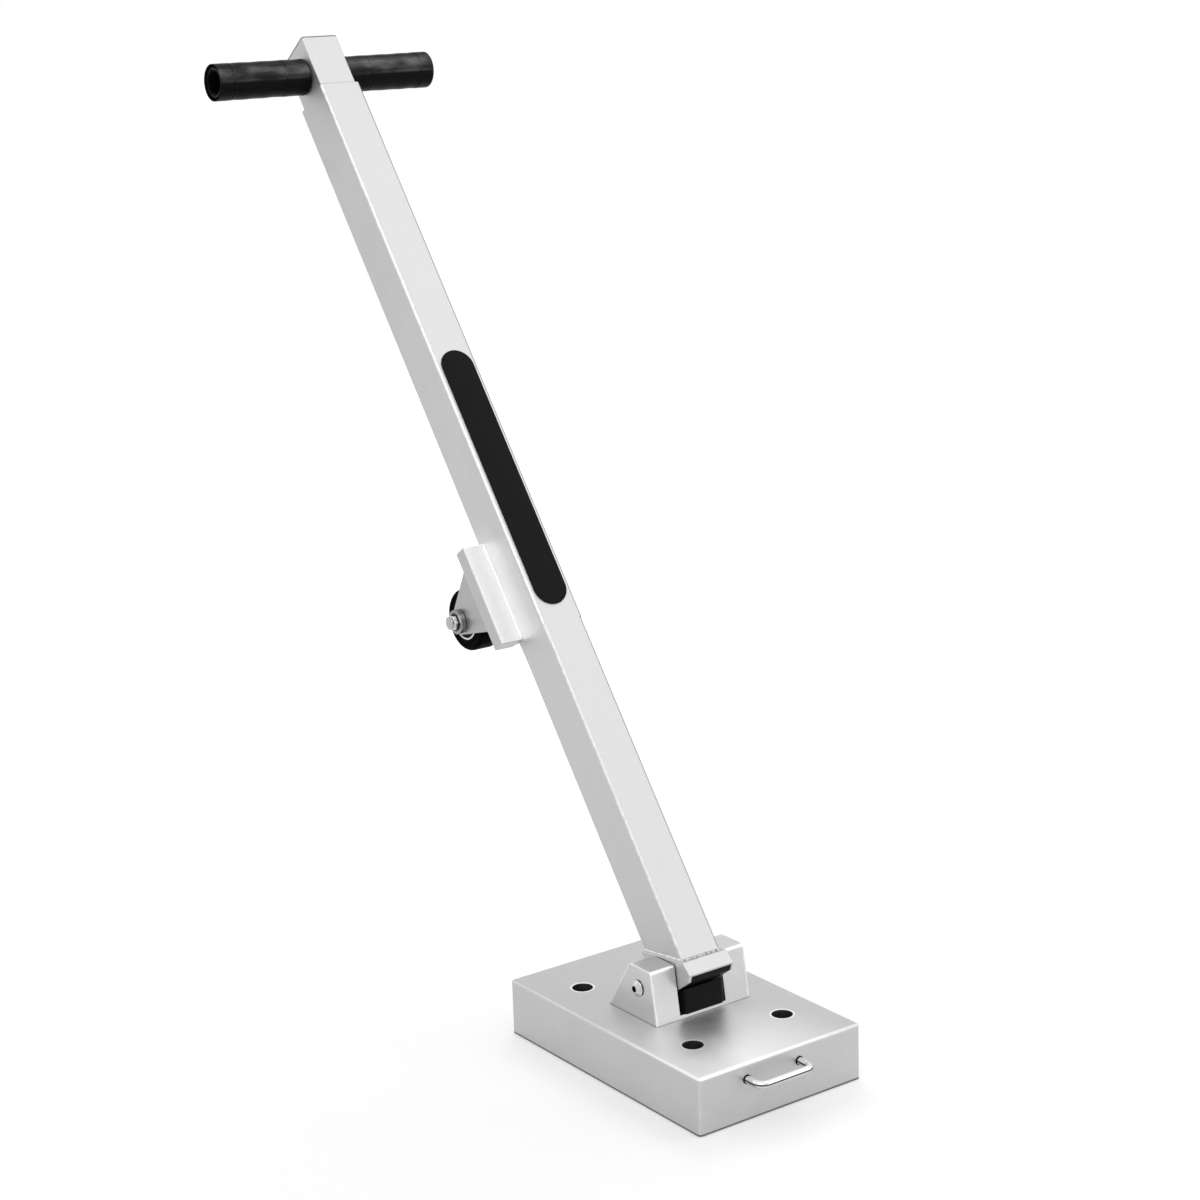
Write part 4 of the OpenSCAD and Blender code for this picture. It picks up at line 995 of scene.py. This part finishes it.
saddleWeld = {"radius": 1.35, "pitch": 5.0, "rough": 0.05, "seed": 11, "start": 1.5, "short": 3.0,
              "sink": 0.1, "kinkAt": 0.68, "kink": 0.5}
cheekWeld = {"radius": 1.1, "pitch": 4.2, "rough": 0.06, "seed": 23, "start": 1.5, "short": 6.0}
cheekLow = leverSpan("left_cheek")[0]
run = np.linspace(0, 1, beadShape["pathPoints"])
ledge = saddleLow[2] + saddleWeld["start"] + run * (saddleHigh[2] - saddleLow[2] - saddleWeld["short"])
kink = np.where(run > saddleWeld["kinkAt"], saddleWeld["kink"], 0.0)
cheek = cheekLow[2] + cheekWeld["start"] + run * (saddleHigh[2] - cheekLow[2] - cheekWeld["short"])
beads = []
for side in (-1, 1):
    onLedge = onLever(side * (tubeHigh[0] + kink), saddleLow[1] - saddleWeld["sink"], ledge)
    onCheek = onLever(side * -cheekLow[0], saddleHigh[1], cheek)
    beads += [beadSurface(onLedge, saddleWeld, side), beadSurface(onCheek, cheekWeld, side)]
addPiece("weld_beads", beads, weldMetal, "lever")

seamShape = {"tall": 28.0, "sink": 0.6, "tuck": 0.3, "under": 0.03, "below": 0.02, "bend": 0.5}


def seamFillet():
    # Dressed weld under the upper tube's end: a thin wedge, as deep as the step at its top and nothing at its
    # foot, carried round the lower tube's outline. It only shows on the left and is tucked in elsewhere.
    s = seamShape
    step = (tubeHigh[0] - tubeLow[0] - lowerHigh[0] + lowerLow[0]) / 2
    top, foot = lowerHigh[2] - s["below"], lowerHigh[2] - s["tall"]
    out = np.array([-s["sink"], step - s["under"], 0.0, -s["sink"]])[:, None]
    rise = np.array([top, top, foot, foot])[:, None]
    left = np.maximum(-np.cos(outlineTurn), 0.0) ** s["bend"]
    across, back = lowerOutline(out * left - s["tuck"] * (1 - left), np.minimum(out, -s["tuck"]))
    return skin(onLever(across, back, rise), closeRows=True)


addPiece("seam_fillet", [seamFillet()], leverMetal, "lever", sharp=60)

bossWeld = {"radius": 1.1, "pitch": 4.0, "rough": 0.05, "seed": 31, "lift": 0.1, "points": 73}
lockLow, lockHigh = leverSpan("lock_boss")
lockR = (lockHigh[0] - lockLow[0]) / 2
around = np.linspace(0, fullTurn, bossWeld["points"])
lockRing = onLever(lockR * np.cos(around), lockLow[1] + bossWeld["lift"],
                   (lockLow[2] + lockHigh[2]) / 2 + lockR * np.sin(around))
addPiece("boss_weld", [beadSurface(lockRing, bossWeld, closed=True)], leverMetal, "lever")
print("welds laid")


# Floor, light and camera

stageLook = {"floor": 0.9, "floorRough": 0.9, "drop": 0.0006, "size": 60.0, "points": 9,
             "glow": (0.6, 4.0, 0.27, 0.45), "glossNear": (0.6, 2.2, 0.2, 0.34),
             "glossFar": (3.5, 8.0, 1.0, 0.3), "world": 1.0, "worldOnMatt": 0.62, "aim": (0.0, 0.28, 0.5),
             "boxFar": 4.0}


def layFloor():
    material, tree, shader = newMaterial("paleFloor")
    shader.inputs["Base Color"].default_value = grey(stageLook["floor"])
    shader.inputs["Roughness"].default_value = stageLook["floorRough"]
    shader.inputs["Specular IOR Level"].default_value = 0.0
    shader.inputs["Emission Color"].default_value = grey(1.0)
    away = vectorNode(tree, "LENGTH", ownSpace(tree))["Value"]
    path = tree.nodes.new("ShaderNodeLightPath").outputs
    straight = most(tree, path["Is Camera Ray"], path["Is Transmission Ray"])
    gloss = times(tree, ramp(tree, away, *stageLook["glossNear"]), ramp(tree, away, *stageLook["glossFar"]))
    glow = weighted(tree, (straight, ramp(tree, away, *stageLook["glow"])), (path["Is Glossy Ray"], gloss))
    tree.links.new(glow, shader.inputs["Emission Strength"])
    count = stageLook["points"]
    x, y = np.meshgrid(*[np.linspace(-stageLook["size"], stageLook["size"], count)] * 2)
    points = np.stack([x, y, np.full_like(x, -stageLook["drop"])], -1)
    index = np.arange(count * count).reshape(count, count)
    faces = np.stack([index[:-1, :-1], index[:-1, 1:], index[1:, 1:], index[1:, :-1]], -1).reshape(-1, 4)
    mesh = bpy.data.meshes.new("floor")
    mesh.from_pydata(points.reshape(-1, 3).tolist(), [], faces.tolist())
    mesh.materials.append(material)
    floor = bpy.data.objects.new("floor", mesh)
    bpy.context.scene.collection.objects.link(floor)


def lightWorld():
    # Rays that show the background see it white: straight, in a gloss or through glass. Others get less.
    world = bpy.data.worlds.new("studio")
    bpy.context.scene.world = world
    world.use_nodes = True
    tree = world.node_tree
    shade = next(n for n in tree.nodes if n.type == "BACKGROUND")
    shade.inputs["Color"].default_value = grey(1.0)
    path = tree.nodes.new("ShaderNodeLightPath").outputs
    seen = most(tree, most(tree, path["Is Camera Ray"], path["Is Glossy Ray"]), path["Is Transmission Ray"])
    strength = ramp(tree, seen, 0.0, 1.0, stageLook["worldOnMatt"], stageLook["world"])
    tree.links.new(strength, shade.inputs["Strength"])


softboxes = {
    "keyBox": {"toward": (0.503, -0.345, 0.793), "size": (2.9, 3.2), "bright": 0.76, "shows": "both"},
    "lowBox": {"toward": (0.554, -0.82, 0.14), "size": (2.4, 0.9), "bright": 1.35, "shows": "gloss",
               "far": 3.0},
    "leftBox": {"toward": (-0.53, -0.45, 0.7), "size": (2.6, 2.6), "bright": 1.9, "shows": "gloss"},
    "farBox": {"toward": (0.434, 0.558, 0.707), "size": (3.0, 2.0), "bright": 2.0, "shows": "matt"},
    "rearBox": {"toward": (-0.6, 0.5, 0.56), "size": (2.4, 2.4), "bright": 0.35, "shows": "both"},
}


def hangSoftbox(name, look):
    light = bpy.data.lights.new(name, "AREA")
    light.shape = "RECTANGLE"
    light.size, light.size_y = look["size"]
    light.energy = look["bright"] * math.pi * light.size * light.size_y
    box = bpy.data.objects.new(name, light)
    bpy.context.scene.collection.objects.link(box)
    toward = Vector(look["toward"]).normalized()
    box.location = Vector(stageLook["aim"]) + toward * look.get("far", stageLook["boxFar"])
    box.rotation_euler = (-toward).to_track_quat("-Z", "Y").to_euler()
    box.visible_camera = False
    box.visible_diffuse = look["shows"] != "gloss"
    box.visible_glossy = look["shows"] != "matt"


cameraShape = {"at": (-1.46872, -1.92324, 1.11052), "lens": 75.996, "sensor": 36.0, "sees": 100.0,
               "right": (0.8069084, -0.5898709, -0.0308390), "up": (0.1713528, 0.1837972, 0.9679136),
               "back": (-0.5652760, -0.7863020, 0.2493835)}


def setCamera():
    s = cameraShape
    lens = bpy.data.cameras.new("camera")
    lens.sensor_width, lens.lens, lens.clip_end = s["sensor"], s["lens"], s["sees"]
    camera = bpy.data.objects.new("camera", lens)
    bpy.context.scene.collection.objects.link(camera)
    turn = Matrix((s["right"], s["up"], s["back"])).transposed().to_4x4()
    camera.matrix_world = Matrix.Translation(s["at"]) @ turn
    bpy.context.scene.camera = camera


layFloor()
lightWorld()
for boxName, boxLook in softboxes.items():
    hangSoftbox(boxName, boxLook)
setCamera()
bpy.context.scene.view_settings.view_transform = "Standard"
print("stage set")
